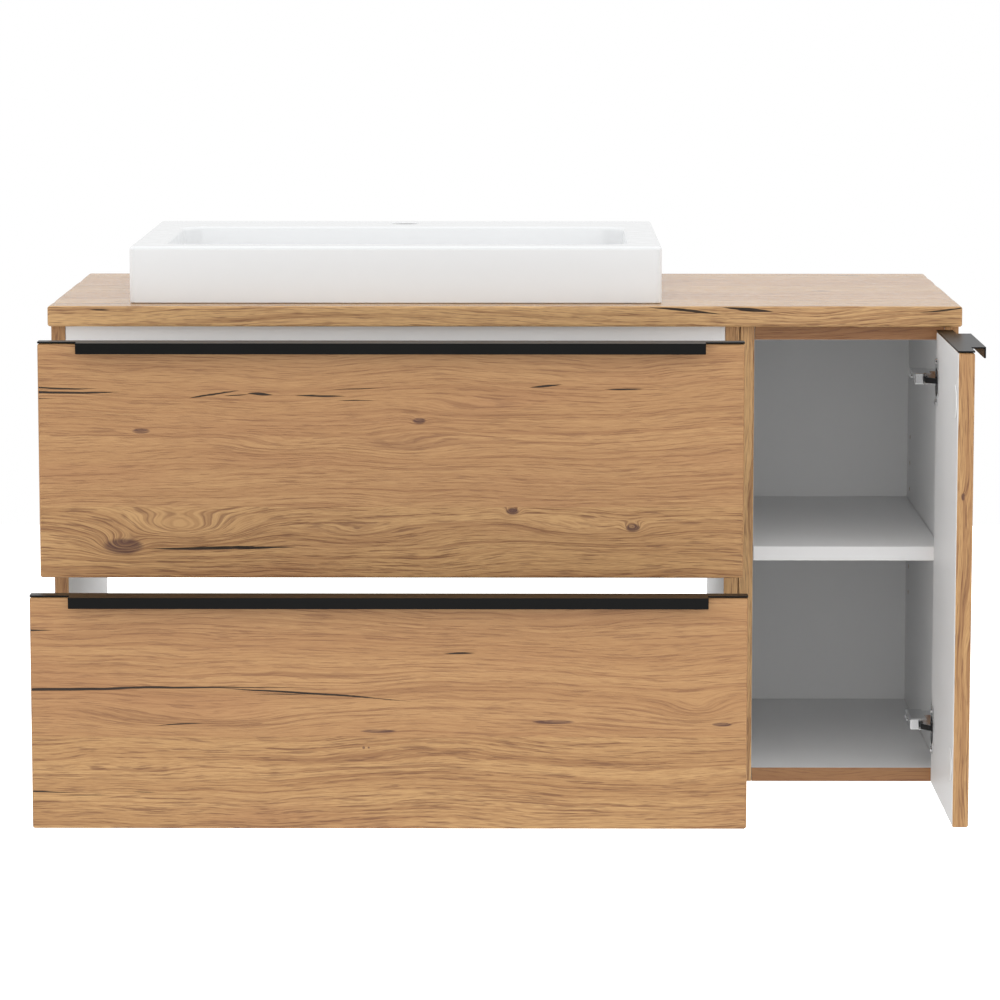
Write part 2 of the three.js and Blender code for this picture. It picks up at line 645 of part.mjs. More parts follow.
function drawer(name, boxBottom, frontTop, frontBottom, out, guarded) {
  const moved = new THREE.Group();
  moved.position.y = -out;
  const halfway = new THREE.Group();
  halfway.position.y = -out / 2;
  vanity.add(moved, halfway);

  const frontX = [-drawerFrontW / 2, drawerFrontW / 2];
  const front = joinAndCut([frontBoard(frontX, [frontBottom, frontTop])], [handleGroove(frontX, frontTop)]);
  addPart(`${name}_drawer_front`, 'oak', front, moved);
  addPart(`${name}_drawer_handle`, 'black_aluminium', edgeHandle(frontX, frontTop), moved);

  const boxZ = [boxBottom, boxBottom + BOX_H];
  const between = [-boxOuter + BOX_T + SEAM, boxOuter - BOX_T - SEAM];
  const backY = [boxBack - BOX_T, boxBack];
  const cutOut = box([-GUARD_W / 2, GUARD_W / 2], [backY[0] - OVERCUT, backY[1] + OVERCUT],
    [boxBottom + GUARD_SILL, boxZ[1] + OVERCUT]);
  addPart(`${name}_drawer_back`, 'white_board',
    joinAndCut([box(between, backY, boxZ)], guarded ? [cutOut] : []), moved);
  const floorZ = [boxBottom + BOX_BOTTOM_LIFT, boxBottom + BOX_BOTTOM_LIFT + BOX_BOTTOM_T];
  addPart(`${name}_drawer_bottom`, 'white_board',
    box(between, [boxFront, backY[0] - SEAM], floorZ), moved);

  for (const [sideName, side] of [['left', -1], ['right', 1]]) {
    const boardX = [side * boxOuter, side * (boxOuter - BOX_T)].sort((a, b) => a - b);
    addPart(`${name}_drawer_${sideName}_side`, 'white_board', box(boardX, [boxFront, boxBack], boxZ), moved);
    const members = runnerMembers(side, boxBottom);
    addPart(`${name}_runner_${sideName}_outer`, 'zinc_steel', members.outer);
    addPart(`${name}_runner_${sideName}_middle`, 'zinc_steel', members.middle, halfway);
    addPart(`${name}_runner_${sideName}_inner`, 'zinc_steel', members.inner, moved);
  }
  if (guarded) {
    addPart(`${name}_drawer_siphon_guard`, 'white_plastic',
      siphonGuard(backY[0] - SEAM, [floorZ[1] + SEAM, boxZ[1]]), moved);
  }
}

// A U-shaped wall in plan, open to the back, that keeps the drawer's contents off the siphon.
function siphonGuard(back, z) {
  const wall = upright(guardPlan(guardOuter, guardFront, GUARD_CORNER_R + GUARD_T, back), z, 0, 6);
  const inside = upright(guardPlan(GUARD_W / 2, guardFront + GUARD_T, GUARD_CORNER_R, back + OVERCUT),
    [z[0] - OVERCUT, z[1] + OVERCUT], 0, 6);
  return joinAndCut([wall], [inside]);
}

function guardPlan(half, front, radius, back) {
  const plan = new THREE.Shape();
  plan.moveTo(half, back);
  plan.lineTo(-half, back);
  plan.absarc(-half + radius, front + radius, radius, Math.PI, 1.5 * Math.PI);
  plan.absarc(half - radius, front + radius, radius, 1.5 * Math.PI, 2 * Math.PI);
  return plan;
}

drawer('upper', upperBoxBottom, upperFrontTop, upperFrontBottom, UPPER_DRAWER_OUT, true);
drawer('lower', lowerBoxBottom, lowerFrontTop, frontsBottom, LOWER_DRAWER_OUT, false);

// ---- door: modelled shut, then turned open about the hinges' effective axis ----

const doorX = [sideLeft + DOOR_REVEAL, sideRight - DOOR_REVEAL];
const doorZ = [frontsBottom, upperFrontTop];
const doorAxis = new THREE.Vector3(sideRight - HINGE_AXIS_IN, carcassFront - HINGE_AXIS_OUT, 0);
const doorSwing = new THREE.Group();
doorSwing.position.copy(doorAxis);
doorSwing.rotation.z = DOOR_OPEN;
const doorShut = new THREE.Group();
doorShut.position.copy(doorAxis).negate();
doorSwing.add(doorShut);
vanity.add(doorSwing);

const cupX = doorX[1] - cupInset;
const capX = doorX[0] + cupInset;
const openDoorFace = doorAxis.x - (frontInner - doorAxis.y);
const openCupWall = doorAxis.y + (cupX - doorAxis.x) + CUP_R - CUP_WALL;

function doorPanel() {
  const bores = [];
  const depth = [frontInner - CUP_DEPTH - CUP_FLOOR_PLAY, frontInner + OVERCUT];
  for (const z of Object.values(hingeHeights)) {
    for (const x of [cupX, capX]) {
      bores.push(cylinderAlongY(cupBoreR, x, depth, z));
    }
  }
  return joinAndCut([frontBoard(doorX, doorZ)], [handleGroove(doorX, doorZ[1]), ...bores]);
}

function hingeCup(z) {
  const face = frontInner + SEAM;
  const floor = frontInner - CUP_DEPTH;
  const flange = box([cupX - CUP_FLANGE.outer, cupX + CUP_FLANGE.inner], [face, face + CUP_FLANGE.t],
    [z - CUP_FLANGE.height / 2, z + CUP_FLANGE.height / 2]);
  return joinAndCut([cylinderAlongY(CUP_R, cupX, [floor, face + CUP_FLANGE.t / 2], z), flange], [
    cylinderAlongY(CUP_R - CUP_WALL, cupX, [floor + CUP_WALL, face + CUP_FLANGE.t + OVERCUT], z),
  ]);
}

function boreCap(z) {
  const face = frontInner + SEAM;
  return joinAndCut([
    cylinderAlongY(cupBoreR + CAP_HEAD_LAP, capX, [face, face + CAP_HEAD_T], z),
    cylinderAlongY(CUP_R, capX, [frontInner - CAP_PLUG_DEPTH, face + CAP_HEAD_T / 2], z),
  ]);
}

addPart('door_panel', 'oak', doorPanel(), doorShut);
addPart('door_handle', 'black_aluminium', edgeHandle(doorX, doorZ[1]), doorShut);

// ---- hinge arms and links on the cabinet's side ----

function hingeArm(z) {
  const half = ARM.height / 2;
  const x = [sideRight - ARM.inner, sideRight - ARM.outer];
  const y = [carcassFront + ARM.front, carcassFront + ARM.rear];
  const plateX = [sideInnerRight - SEAM - ARM_PLATE.t, sideInnerRight - SEAM];
  return joinAndCut([
    box([x[0], x[0] + ARM.steel], y, [z - half, z + half]),
    box([x[0], x[0] + ARM.face], [y[0], y[0] + ARM.steel], [z - half, z + half]),
    box(x, y, [z + half - ARM.steel, z + half]),
    box(x, y, [z - half, z - half + ARM.steel]),
    box([x[0], plateX[0] + OVERCUT], [carcassFront + ARM_POST.front, carcassFront + ARM_POST.rear],
      [z - half, z + half]),
    box(plateX, [carcassFront + ARM_PLATE.front, carcassFront + ARM_PLATE.rear],
      [z - ARM_PLATE.height / 2, z + ARM_PLATE.height / 2]),
    cylinder(LINK_PIN_R, sideRight - LINK_PIVOT.inner, carcassFront + LINK_PIVOT.back,
      [z - half, z + half], 12),
  ]);
}

// A strip of even thickness along a line of points.
function strip(points, halfT) {
  const left = [];
  const right = [];
  points.forEach(([x, y], i) => {
    const before = points[Math.max(0, i - 1)];
    const after = points[Math.min(points.length - 1, i + 1)];
    const length = Math.hypot(after[0] - before[0], after[1] - before[1]);
    const nx = (before[1] - after[1]) / length * halfT;
    const ny = (after[0] - before[0]) / length * halfT;
    left.push([x + nx, y + ny]);
    right.push([x - nx, y - ny]);
  });
  return outline([...left, ...right.reverse()]);
}

function hingeLink(z) {
  const bends = LINK_BENDS.map(([into, back]) => [openDoorFace + into, openCupWall + back]);
  const [pivotX, pivotY] = [sideRight - LINK_PIVOT.inner, carcassFront + LINK_PIVOT.back];
  const line = [[pivotX, pivotY], ...bends];
  const height = [z - LINK_H / 2, z + LINK_H / 2];
  return joinAndCut([
    upright(strip(line, LINK_HALF_T), height),
    cylinder(LINK_EYE_R, pivotX, pivotY, height, 20),
  ], [cylinder(LINK_PIN_R + LINK_PLAY, pivotX, pivotY, [height[0] - OVERCUT, height[1] + OVERCUT], 16)]);
}

for (const [name, z] of Object.entries(hingeHeights)) {
  addPart(`${name}_hinge_cup`, 'zinc_steel', hingeCup(z), doorShut);
  addPart(`${name}_bore_cap`, 'white_plastic', boreCap(z), doorShut);
  addPart(`${name}_hinge_arm`, 'zinc_steel', hingeArm(z));
  addPart(`${name}_hinge_link`, 'zinc_steel', hingeLink(z));
}

export default vanity;
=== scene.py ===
"""Looks of a wall-hung vanity with a vessel basin, two drawers and a side cabinet, on its CAD frame."""

import json
import math

import bmesh
import bpy
from mathutils import Matrix, Vector, noise


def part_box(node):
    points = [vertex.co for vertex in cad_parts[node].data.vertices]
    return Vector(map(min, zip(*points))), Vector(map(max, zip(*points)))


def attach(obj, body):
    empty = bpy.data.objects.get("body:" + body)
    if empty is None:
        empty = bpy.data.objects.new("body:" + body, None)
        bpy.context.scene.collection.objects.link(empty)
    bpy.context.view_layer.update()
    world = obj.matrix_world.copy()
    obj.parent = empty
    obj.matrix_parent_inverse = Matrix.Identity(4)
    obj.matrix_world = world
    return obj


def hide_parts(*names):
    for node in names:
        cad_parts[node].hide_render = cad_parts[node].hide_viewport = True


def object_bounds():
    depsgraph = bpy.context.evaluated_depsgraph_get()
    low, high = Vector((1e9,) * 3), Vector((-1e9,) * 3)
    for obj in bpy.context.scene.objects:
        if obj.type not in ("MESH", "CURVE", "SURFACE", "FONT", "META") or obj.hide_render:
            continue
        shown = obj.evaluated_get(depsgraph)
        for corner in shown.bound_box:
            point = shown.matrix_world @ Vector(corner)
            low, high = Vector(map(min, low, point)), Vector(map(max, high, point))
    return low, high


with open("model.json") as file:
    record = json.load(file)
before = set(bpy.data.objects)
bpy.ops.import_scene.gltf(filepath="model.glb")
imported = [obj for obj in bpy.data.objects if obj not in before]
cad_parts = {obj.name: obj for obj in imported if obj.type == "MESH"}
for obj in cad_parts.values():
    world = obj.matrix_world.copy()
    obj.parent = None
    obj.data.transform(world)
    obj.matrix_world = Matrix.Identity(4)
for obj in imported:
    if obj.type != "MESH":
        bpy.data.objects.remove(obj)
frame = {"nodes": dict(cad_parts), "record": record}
cad_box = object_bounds()

MM = 0.001
BODY = {node: body for body, nodes in frame["record"]["behaviour"]["bodies"].items() for node in nodes}


# ---------------------------------------------------------------- camera, light and floor

def add_object(name, data):
    obj = bpy.data.objects.new(name, data)
    bpy.context.scene.collection.objects.link(obj)
    return obj


def aim(obj, place, ahead):
    """Puts a camera or light at place, looking along ahead."""
    obj.location = place
    obj.rotation_mode = "QUATERNION"
    obj.rotation_quaternion = ahead.to_track_quat("-Z", "Y")


def make_camera():
    """The camera stands in front of the vanity, a little above it, and looks slightly down."""
    data = bpy.data.cameras.new("camera")
    data.sensor_width = 36
    data.lens = 152.5
    data.clip_start = 0.1
    camera = add_object("camera", data)
    down, turn = 0.13361, -0.0058
    ahead = Vector((math.sin(turn) * math.cos(down), math.cos(turn) * math.cos(down), -math.sin(down)))
    aim(camera, (0.1453, -5.1841, 0.4898), ahead)
    bpy.context.scene.camera = camera


def area_light(name, place, target, size, watts):
    data = bpy.data.lights.new(name, "AREA")
    data.shape = "RECTANGLE"
    data.size, data.size_y = size
    data.energy = watts
    aim(add_object(name, data), place, Vector(target) - Vector(place))


def make_world(fill, mirrored=0.85, dark=0.02):
    """A white studio. Its diffuse light is fill.

    In mirrors it is pale behind the vanity and dark in front, and to the camera it is white.
    """
    world = bpy.data.worlds.new("studio")
    bpy.context.scene.world = world
    bpy.context.scene.view_settings.view_transform = "Standard"
    world.use_nodes = True
    nodes = Nodes(world.node_tree)
    direction = nodes.split(nodes.add("ShaderNodeTexCoord").outputs["Generated"])
    ray = nodes.add("ShaderNodeLightPath").outputs
    strength = nodes.step(direction["y"], -0.5, 0.4, dark, mirrored, "LINEAR")
    strength = nodes.step(ray["Is Camera Ray"], 0, 1, strength, 1.0, "LINEAR")
    strength = nodes.step(ray["Is Diffuse Ray"], 0, 1, strength, fill, "LINEAR")
    nodes.fill(nodes.tree.nodes["Background"], Color=(1, 1, 1, 1), Strength=strength)


def make_floor():
    """A pale floor that looks as white as the backdrop and lights the vanity no more than paint would."""
    bm = bmesh.new()
    bmesh.ops.create_grid(bm, x_segments=4, y_segments=4, size=4)
    floor = add_object("floor", to_mesh("floor", bm))
    floor.location = (cad_box[0].x + 0.5, 0, cad_box[0].z - 0.33)
    graph = Graph("floor_paint")
    cloud = graph.noise(graph.place, 1.2)
    graph.set(Base_Color=graph.ramp(cloud, [(0, (0.93, 0.93, 0.93)), (1, (0.96, 0.96, 0.96))]),
              Roughness=0.8, Emission_Color=(1, 1, 1, 1),
              Emission_Strength=graph.add("ShaderNodeLightPath").outputs["Is Camera Ray"])
    floor.data.materials.append(graph.material)


# ---------------------------------------------------------------- material graphs

class Nodes:
    """Short calls that add nodes to a tree. Values may be numbers or sockets."""

    def __init__(self, tree):
        self.tree = tree

    def add(self, kind, **settings):
        node = self.tree.nodes.new(kind)
        for key, value in settings.items():
            setattr(node, key, value)
        return node

    def put(self, socket, value):
        if isinstance(value, bpy.types.NodeSocket):
            self.tree.links.new(value, socket)
        elif hasattr(value, "__len__") and len(value) == 3 and len(socket.default_value) == 4:
            socket.default_value = (*value, 1)
        else:
            socket.default_value = value

    def fill(self, node, **values):
        """Puts values in the sockets of those names, with an underscore for each space."""
        for key, value in values.items():
            self.put(node.inputs[key.replace("_", " ")], value)

    def fill_in_order(self, node, values):
        for socket, value in zip(node.inputs, values):
            self.put(socket, value)
        return node.outputs[0]

    def math(self, operation, *values, clamp=False):
        return self.fill_in_order(self.add("ShaderNodeMath", operation=operation, use_clamp=clamp), values)

    def times(self, a, b):
        return self.math("MULTIPLY", a, b)

    def split(self, vector):
        node = self.add("ShaderNodeSeparateXYZ")
        self.put(node.inputs[0], vector)
        return dict(zip("xyz", node.outputs))

    def stretched(self, *terms):
        """A vector of three terms, each a number or a value and its factor."""
        sizes = [self.times(*term) if isinstance(term, tuple) else term for term in terms]
        return self.fill_in_order(self.add("ShaderNodeCombineXYZ"), sizes)

    def noise(self, vector, scale=1.0, detail=2.0, roughness=0.5):
        node = self.add("ShaderNodeTexNoise")
        self.fill(node, Vector=vector, Scale=scale, Detail=detail, Roughness=roughness)
        return node.outputs["Fac"]

    def cells(self, scale):
        """The outputs of a pattern of random cells."""
        node = self.add("ShaderNodeTexVoronoi")
        self.fill(node, Vector=self.place, Scale=scale)
        return node.outputs

    def step(self, value, low, high, out_low=0.0, out_high=1.0, rise="SMOOTHSTEP"):
        """Rises from out_low to out_high as value goes from low to high."""
        node = self.add("ShaderNodeMapRange", interpolation_type=rise)
        self.fill(node, Value=value, From_Min=low, From_Max=high, To_Min=out_low, To_Max=out_high)
        return node.outputs["Result"]

    def ramp(self, value, stops):
        node = self.add("ShaderNodeValToRGB")
        self.put(node.inputs[0], value)
        elements = node.color_ramp.elements
        while len(elements) < len(stops):
            elements.new(0.5)
        for element, (position, colour) in zip(elements, stops):
            element.position = position
            element.color = (*colour, 1)
        return node.outputs["Color"]

    def mix(self, factor, a, b):
        node = self.add("ShaderNodeMix", data_type="RGBA")
        for socket, value in ((node.inputs["Factor"], factor), (node.inputs[6], a), (node.inputs[7], b)):
            self.put(socket, value)
        return node.outputs[2]


class Graph(Nodes):
    """A material, its node tree and its shader."""

    def __init__(self, name):
        self.material = bpy.data.materials.new(name)
        self.material.use_nodes = True
        super().__init__(self.material.node_tree)
        self.shader = self.tree.nodes["Principled BSDF"]
        self.place = self.add("ShaderNodeTexCoord").outputs["Object"]

    def set(self, **values):
        self.fill(self.shader, **values)

    def bump(self, height, distance, strength=0.5):
        node = self.add("ShaderNodeBump")
        self.fill(node, Strength=strength, Distance=distance, Height=height)
        self.set(Normal=node.outputs[0])


TAN = (0.52, 0.288, 0.116)
HONEY = (0.60, 0.350, 0.146)
FAIR = (0.76, 0.480, 0.215)
UMBER = (0.31, 0.140, 0.052)
ROSE = (0.47, 0.236, 0.101)
PORE = (0.18, 0.072, 0.030)
KNOT = (0.120, 0.050, 0.034)
CRACK = (0.010, 0.006, 0.005)


def oak(name, grain, across, lo, hi, seed, knots=(), splits=(), seams=(), swirls=(), rough=0.46, tint=None):
    """Oak decor whose grain runs along one axis and whose rings step along another.

    Knots, swirls and splits are placed as shares of the board's length and width from lo to hi.
    A knot or swirl is (along, across, half length, half width, push), a split is
    (start, end, across at start, across at end, half width, sag), in shares and millimetres.
    rough is the middle roughness, and tint a colour with its share over the whole board.
    """
    graph = Graph(name)
    axes = graph.split(graph.place)
    depth = next(k for k in "xyz" if k not in (grain, across))
    along, side, deep = axes[grain], axes[across], axes[depth]
    length = getattr(hi, grain) - getattr(lo, grain)
    width = getattr(hi, across) - getattr(lo, across)
    low_along, low_side = getattr(lo, grain), getattr(lo, across)

    # planks: each seam shifts the pattern beyond it
    plank = 0.0
    for share in seams:
        plank = graph.math("ADD", plank, graph.math("GREATER_THAN", side, low_side + share * width))
    shift = graph.math("ADD", along, graph.times(plank, 3.7)) if seams else along
    shift = graph.math("ADD", shift, seed * 2.31)

    drift = graph.noise(graph.stretched((shift, 2.6), (side, 7), (deep, 5)), roughness=0.45)
    wander = graph.noise(graph.stretched((shift, 11), (side, 34), (deep, 30)))
    ring = graph.math("MULTIPLY_ADD", drift, 0.052, side)
    ring = graph.math("MULTIPLY_ADD", wander, 0.0052, ring)
    ring = graph.math("MULTIPLY_ADD", deep, 0.8, ring)

    # knots and swirls: rings bend round them, and a knot has a dark heart
    heart, halo = 0.0, 0.0
    for feature in [*knots, *swirls]:
        u, v, half_l, half_w, push = feature
        x = graph.math("DIVIDE", graph.math("SUBTRACT", along, low_along + u * length), half_l * MM)
        y = graph.math("DIVIDE", graph.math("SUBTRACT", side, low_side + v * width), half_w * MM)
        square = graph.math("MULTIPLY_ADD", x, x, graph.times(y, y))
        hill = graph.math("EXPONENT", graph.times(square, -1.0))
        ring = graph.math("MULTIPLY_ADD", hill, push * MM, ring)
        halo = graph.math("ADD", halo, graph.times(hill, 0.5))
        if feature in knots:
            ragged = graph.math("MULTIPLY_ADD", wander, 0.9, square)
            heart = graph.math("MAXIMUM", heart, graph.step(ragged, 0.8, 1.35, 1, 0))

    # patterns, from broad bands to single fibres
    bands = graph.noise(graph.stretched((shift, 0.55), (ring, 58), seed), roughness=0.55)
    lines = graph.noise(graph.stretched((shift, 3.5), (ring, 300), seed + 3.3), detail=3, roughness=0.65)
    dashes = graph.noise(graph.stretched((shift, 30), (ring, 680), (deep, 400)), roughness=0.6)
    fibre = graph.noise(graph.stretched((shift, 60), (ring, 1500), (deep, 900)), roughness=0.6)
    tone = graph.noise(graph.stretched((shift, 3.1), (side, 16), seed * 1.7))

    colour = graph.mix(graph.step(bands, 0.38, 0.62), TAN, HONEY)
    colour = graph.mix(graph.step(tone, 0.50, 0.72, 0, 0.75), colour, ROSE)
    if tint:
        colour = graph.mix(tint[1], colour, tint[0])
    late = graph.step(lines, 0.47, 0.64, 0, 0.62)
    colour = graph.mix(late, colour, UMBER)
    colour = graph.mix(graph.step(fibre, 0.38, 0.66, 0, 0.42), colour, UMBER)
    pores = graph.times(graph.step(dashes, 0.52, 0.64), graph.step(lines, 0.30, 0.58, 0.25, 1.0))
    colour = graph.mix(graph.times(pores, 0.66), colour, PORE)
    if seams:
        odd = graph.math("MODULO", plank, 2)
        colour = graph.mix(graph.times(odd, 0.35), colour, ROSE)
    if knots or swirls:
        ringed = graph.math("MULTIPLY", graph.times(halo, late), 0.9, clamp=True)
        colour = graph.mix(ringed, colour, PORE)
    if knots:
        streaks = graph.step(dashes, 0.35, 0.60, 0.45, 0.95)
        colour = graph.mix(graph.times(heart, streaks), colour, KNOT)

    # splits: each follows a sagging line that sways with the grain, and narrows to its ends
    sway, blur, shut = 0.0045, 0.00035, -0.0001
    open_mask = 0.0
    for start, end, v0, v1, half, sag in splits:
        middle, reach = (start + end) / 2, (end - start) / 2
        t = graph.math("DIVIDE", graph.math("SUBTRACT", along, low_along + middle * length), reach * length)
        rise = graph.times(t, (v1 - v0) / 2 * width)
        line = graph.math("ADD", rise, low_side + (v0 + v1) / 2 * width + sag * MM)
        square = graph.times(t, t)
        line = graph.math("MULTIPLY_ADD", square, -sag * MM, line)
        line = graph.math("MULTIPLY_ADD", wander, sway, line)
        gap = graph.math("ABSOLUTE", graph.math("SUBTRACT", graph.math("SUBTRACT", side, line), -sway / 2))
        room = graph.times(graph.math("SUBTRACT", 1.0, square), half * MM)
        room = graph.times(room, graph.step(lines, 0.30, 0.62, 0.65, 1.25))
        room = graph.math("MAXIMUM", room, shut)
        inside = graph.math("DIVIDE", graph.math("SUBTRACT", room, gap), blur, clamp=True)
        inside = graph.times(inside, graph.math("LESS_THAN", square, 1.0))
        open_mask = graph.math("MAXIMUM", open_mask, inside)
    if splits:
        colour = graph.mix(graph.times(open_mask, 0.93), colour, CRACK)

    graph.set(Base_Color=colour, Roughness=graph.step(fibre, 0.3, 0.7, rough - 0.07, rough + 0.07))
    height = graph.math("MULTIPLY_ADD", pores, -0.7, graph.times(fibre, 0.35))
    if splits:
        height = graph.math("MULTIPLY_ADD", open_mask, -2.5, height)
    graph.bump(height, 0.0004, 0.55)
    return graph.material


def speckled(name, light, dark, scale, roughness, bump=0.0, metallic=0.0, gloss=0.5, spread=0.05,
             shape=(1, 1, 1)):
    """A finish with a fine, even grain; shape stretches the grain for brushed metal."""
    graph = Graph(name)
    axes = graph.split(graph.place)
    fine = graph.noise(graph.stretched(*zip(axes.values(), shape)), scale, 3, 0.6)
    broad = graph.noise(graph.place, 9)
    colour = graph.mix(fine, dark, light)
    graph.set(Base_Color=graph.mix(graph.step(broad, 0.3, 0.7, 0, 0.35), colour, dark),
              Roughness=graph.step(fine, 0.25, 0.75, roughness - spread, roughness + spread),
              Metallic=metallic, Specular_IOR_Level=gloss)
    if bump:
        graph.bump(fine, bump)
    return graph.material


def chipboard():
    graph = Graph("chipboard")
    flakes = graph.cells(620)
    tint = graph.split(flakes["Color"])["x"]
    stops = [(0, (0.24, 0.155, 0.08)), (0.6, (0.45, 0.32, 0.19)), (1, (0.58, 0.44, 0.28))]
    graph.set(Base_Color=graph.ramp(tint, stops), Roughness=0.85)
    graph.bump(flakes["Distance"], 0.0005, 0.6)
    return graph.material


def spangled():
    """Zinc-coated steel sheet with its faint crystal pattern."""
    graph = Graph("zinc_sheet")
    tint = graph.split(graph.cells(160)["Color"])["x"]
    graph.set(Base_Color=graph.ramp(tint, [(0, (0.50, 0.52, 0.54)), (1, (0.66, 0.68, 0.70))]),
              Metallic=1.0, Roughness=graph.step(tint, 0, 1, 0.28, 0.42))
    graph.bump(graph.noise(graph.place, 900), 0.00005, 0.4)
    return graph.material


# light colour, dark colour, grain scale, roughness, and then what differs from plain
SPECKLED = {
    "white_board": ((0.86, 0.86, 0.86), (0.83, 0.83, 0.828), 1400, 0.46, 0.00005),
    "ceramic": ((0.852, 0.861, 0.868), (0.835, 0.844, 0.85), 60, 0.12, 0.0, 0.0, 0.5, 0.03),
    "black_aluminium": ((0.0085, 0.0083, 0.0078), (0.004, 0.004, 0.0038), 1, 0.36, 0.00002, 0.0, 0.2, 0.07,
                        (60, 2600, 2600)),
    # Near-black steel for the hinge links: painted shade of the gap between hinge arm and cup.
    "link_painted_shade": ((0.03, 0.03, 0.031), (0.014, 0.014, 0.015), 500, 0.42, 0.00003, 0.6),
    "nickel": ((0.80, 0.805, 0.81), (0.66, 0.665, 0.675), 700, 0.2, 0.00002, 1.0),
    "chrome": ((0.84, 0.85, 0.86), (0.78, 0.79, 0.80), 300, 0.07, 0.0, 1.0, 0.5, 0.02),
    "rubber": ((0.028, 0.028, 0.028), (0.016, 0.016, 0.016), 1600, 0.75, 0.0001),
    "white_plastic": ((0.86, 0.86, 0.85), (0.82, 0.82, 0.81), 900, 0.38, 0.00005),
    "hardboard": ((0.30, 0.18, 0.095), (0.19, 0.11, 0.055), 900, 0.7, 0.0001),
}
FINISH = {name: speckled(name, *look) for name, look in SPECKLED.items()}
FINISH["chipboard"] = chipboard()
FINISH["zinc_sheet"] = spangled()


# ---------------------------------------------------------------- mesh helpers

MOST_MATERIALS = 6


def corners(node):
    """Lowest and highest corner of a CAD node at rest."""
    low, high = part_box(node)
    return Vector(low), Vector(high)


def middle_of(node):
    low, high = corners(node)
    return (low + high) / 2


def to_mesh(name, bm):
    """Turns a bmesh into a mesh and frees it."""
    mesh = bpy.data.meshes.new(name)
    bm.to_mesh(mesh)
    bm.free()
    return mesh


def clean(bm):
    bmesh.ops.remove_doubles(bm, verts=bm.verts, dist=1e-7)
    bmesh.ops.recalc_face_normals(bm, faces=bm.faces)


def piece(node, suffix, bm, looks, smooth=35, bevel=0.0, steps=2, hides=True):
    """Makes a mesh piece that rides with the CAD node it stands for.

    looks is a finish's name or a list of materials.
    """
    clean(bm)
    name = f"{node}_{suffix}"
    mesh = to_mesh(name, bm)
    for material in [FINISH[looks]] if isinstance(looks, str) else looks:
        mesh.materials.append(material)
    obj = add_object(name, mesh)
    if bevel:
        soften(obj, bevel, steps)
    shade(obj, smooth)
    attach(obj, BODY[node])
    if hides:
        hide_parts(node)


def soften(obj, width, steps):
    edge = obj.modifiers.new("soft_edges", "BEVEL")
    edge.width = width
    edge.segments = steps
    edge.limit_method = "ANGLE"
    edge.angle_limit = math.radians(40)
    edge.use_clamp_overlap = True
    bake(obj)


def bake(obj):
    """Applies the object's modifiers to its mesh."""
    graph = bpy.context.evaluated_depsgraph_get()
    graph.update()
    mesh = bpy.data.meshes.new_from_object(obj.evaluated_get(graph))
    obj.modifiers.clear()
    old = obj.data
    obj.data = mesh
    bpy.data.meshes.remove(old)


def shade(obj, angle):
    obj.data.polygons.foreach_set("use_smooth", [True] * len(obj.data.polygons))
    obj.data.set_sharp_from_angle(angle=math.radians(angle))
    even = obj.modifiers.new("even_normals", "WEIGHTED_NORMAL")
    even.keep_sharp = True


def carve(target, tool, material=None, join=False):
    """Cuts the tool's shape out of the target bmesh, or joins it on; cut faces take the material index."""
    made = []
    for name, bm in (("target", target), ("tool", tool)):
        clean(bm)
        if name == "tool" and material is not None:
            for face in bm.faces:
                face.material_index = material
        mesh = to_mesh(name, bm)
        for _ in range(MOST_MATERIALS):
            mesh.materials.append(None)
        made.append(add_object(name, mesh))
    cut = made[0].modifiers.new("cut", "BOOLEAN")
    cut.object = made[1]
    cut.operation = "UNION" if join else "DIFFERENCE"
    cut.solver = "EXACT"
    bake(made[0])
    result = bmesh.new()
    result.from_mesh(made[0].data)
    for obj in made:
        mesh = obj.data
        bpy.data.objects.remove(obj)
        bpy.data.meshes.remove(mesh)
    return result


def ticks(low, high, radius, arc, cuts):
    """Positions along one axis: close in the rounded ends and even between them."""
    bend = [radius * math.tan(math.radians(45) * i / arc) for i in range(arc + 1)]
    start, end = low + radius, high - radius
    middle = [start + (end - start) * (i + 1) / (cuts + 1) for i in range(cuts)]
    return [start - b for b in reversed(bend)] + middle + [end + b for b in bend]


def rounded_box(bm, low, high, radius, arc=2, cuts=(0, 0, 0), paint=None, worn=0.0):
    """Adds a box with round edges. paint(normal) gives a face's material; worn wears the edges unevenly."""
    low, high = Vector(low), Vector(high)
    places = [ticks(low[k], high[k], radius, arc, cuts[k]) for k in range(3)]
    verts = {}

    def vert(key):
        if key not in verts:
            p = Vector([places[k][i] for k, i in enumerate(key)])
            core = Vector([min(max(p[k], low[k] + radius), high[k] - radius) for k in range(3)])
            out = (p - core).normalized()
            on_edge = sum(abs(c) > 0.05 for c in out) > 1
            wear = worn * max(0.0, noise.noise(p * 23) + 0.35 * noise.noise(p * 90)) if on_edge else 0.0
            verts[key] = bm.verts.new(core + out * (radius - wear))
        return verts[key]

    for k in range(3):
        i, j = (k + 1) % 3, (k + 2) % 3
        for at in (0, len(places[k]) - 1):
            for a in range(len(places[i]) - 1):
                for b in range(len(places[j]) - 1):
                    keys = []
                    for da, db in ((0, 0), (1, 0), (1, 1), (0, 1)):
                        key = [0, 0, 0]
                        key[k], key[i], key[j] = at, a + da, b + db
                        keys.append(tuple(key))
                    normal = Vector((0, 0, 0))
                    normal[k] = 1 if at else -1
                    face = bm.faces.new([vert(key) for key in keys])
                    face.material_index = paint(normal) if paint else 0
    return bm


def quarter(steps):
    """Sine and cosine of each step from 0 to 90 degrees."""
    angles = [math.radians(90 * i / steps) for i in range(steps + 1)]
    return [(math.sin(a), math.cos(a)) for a in angles]


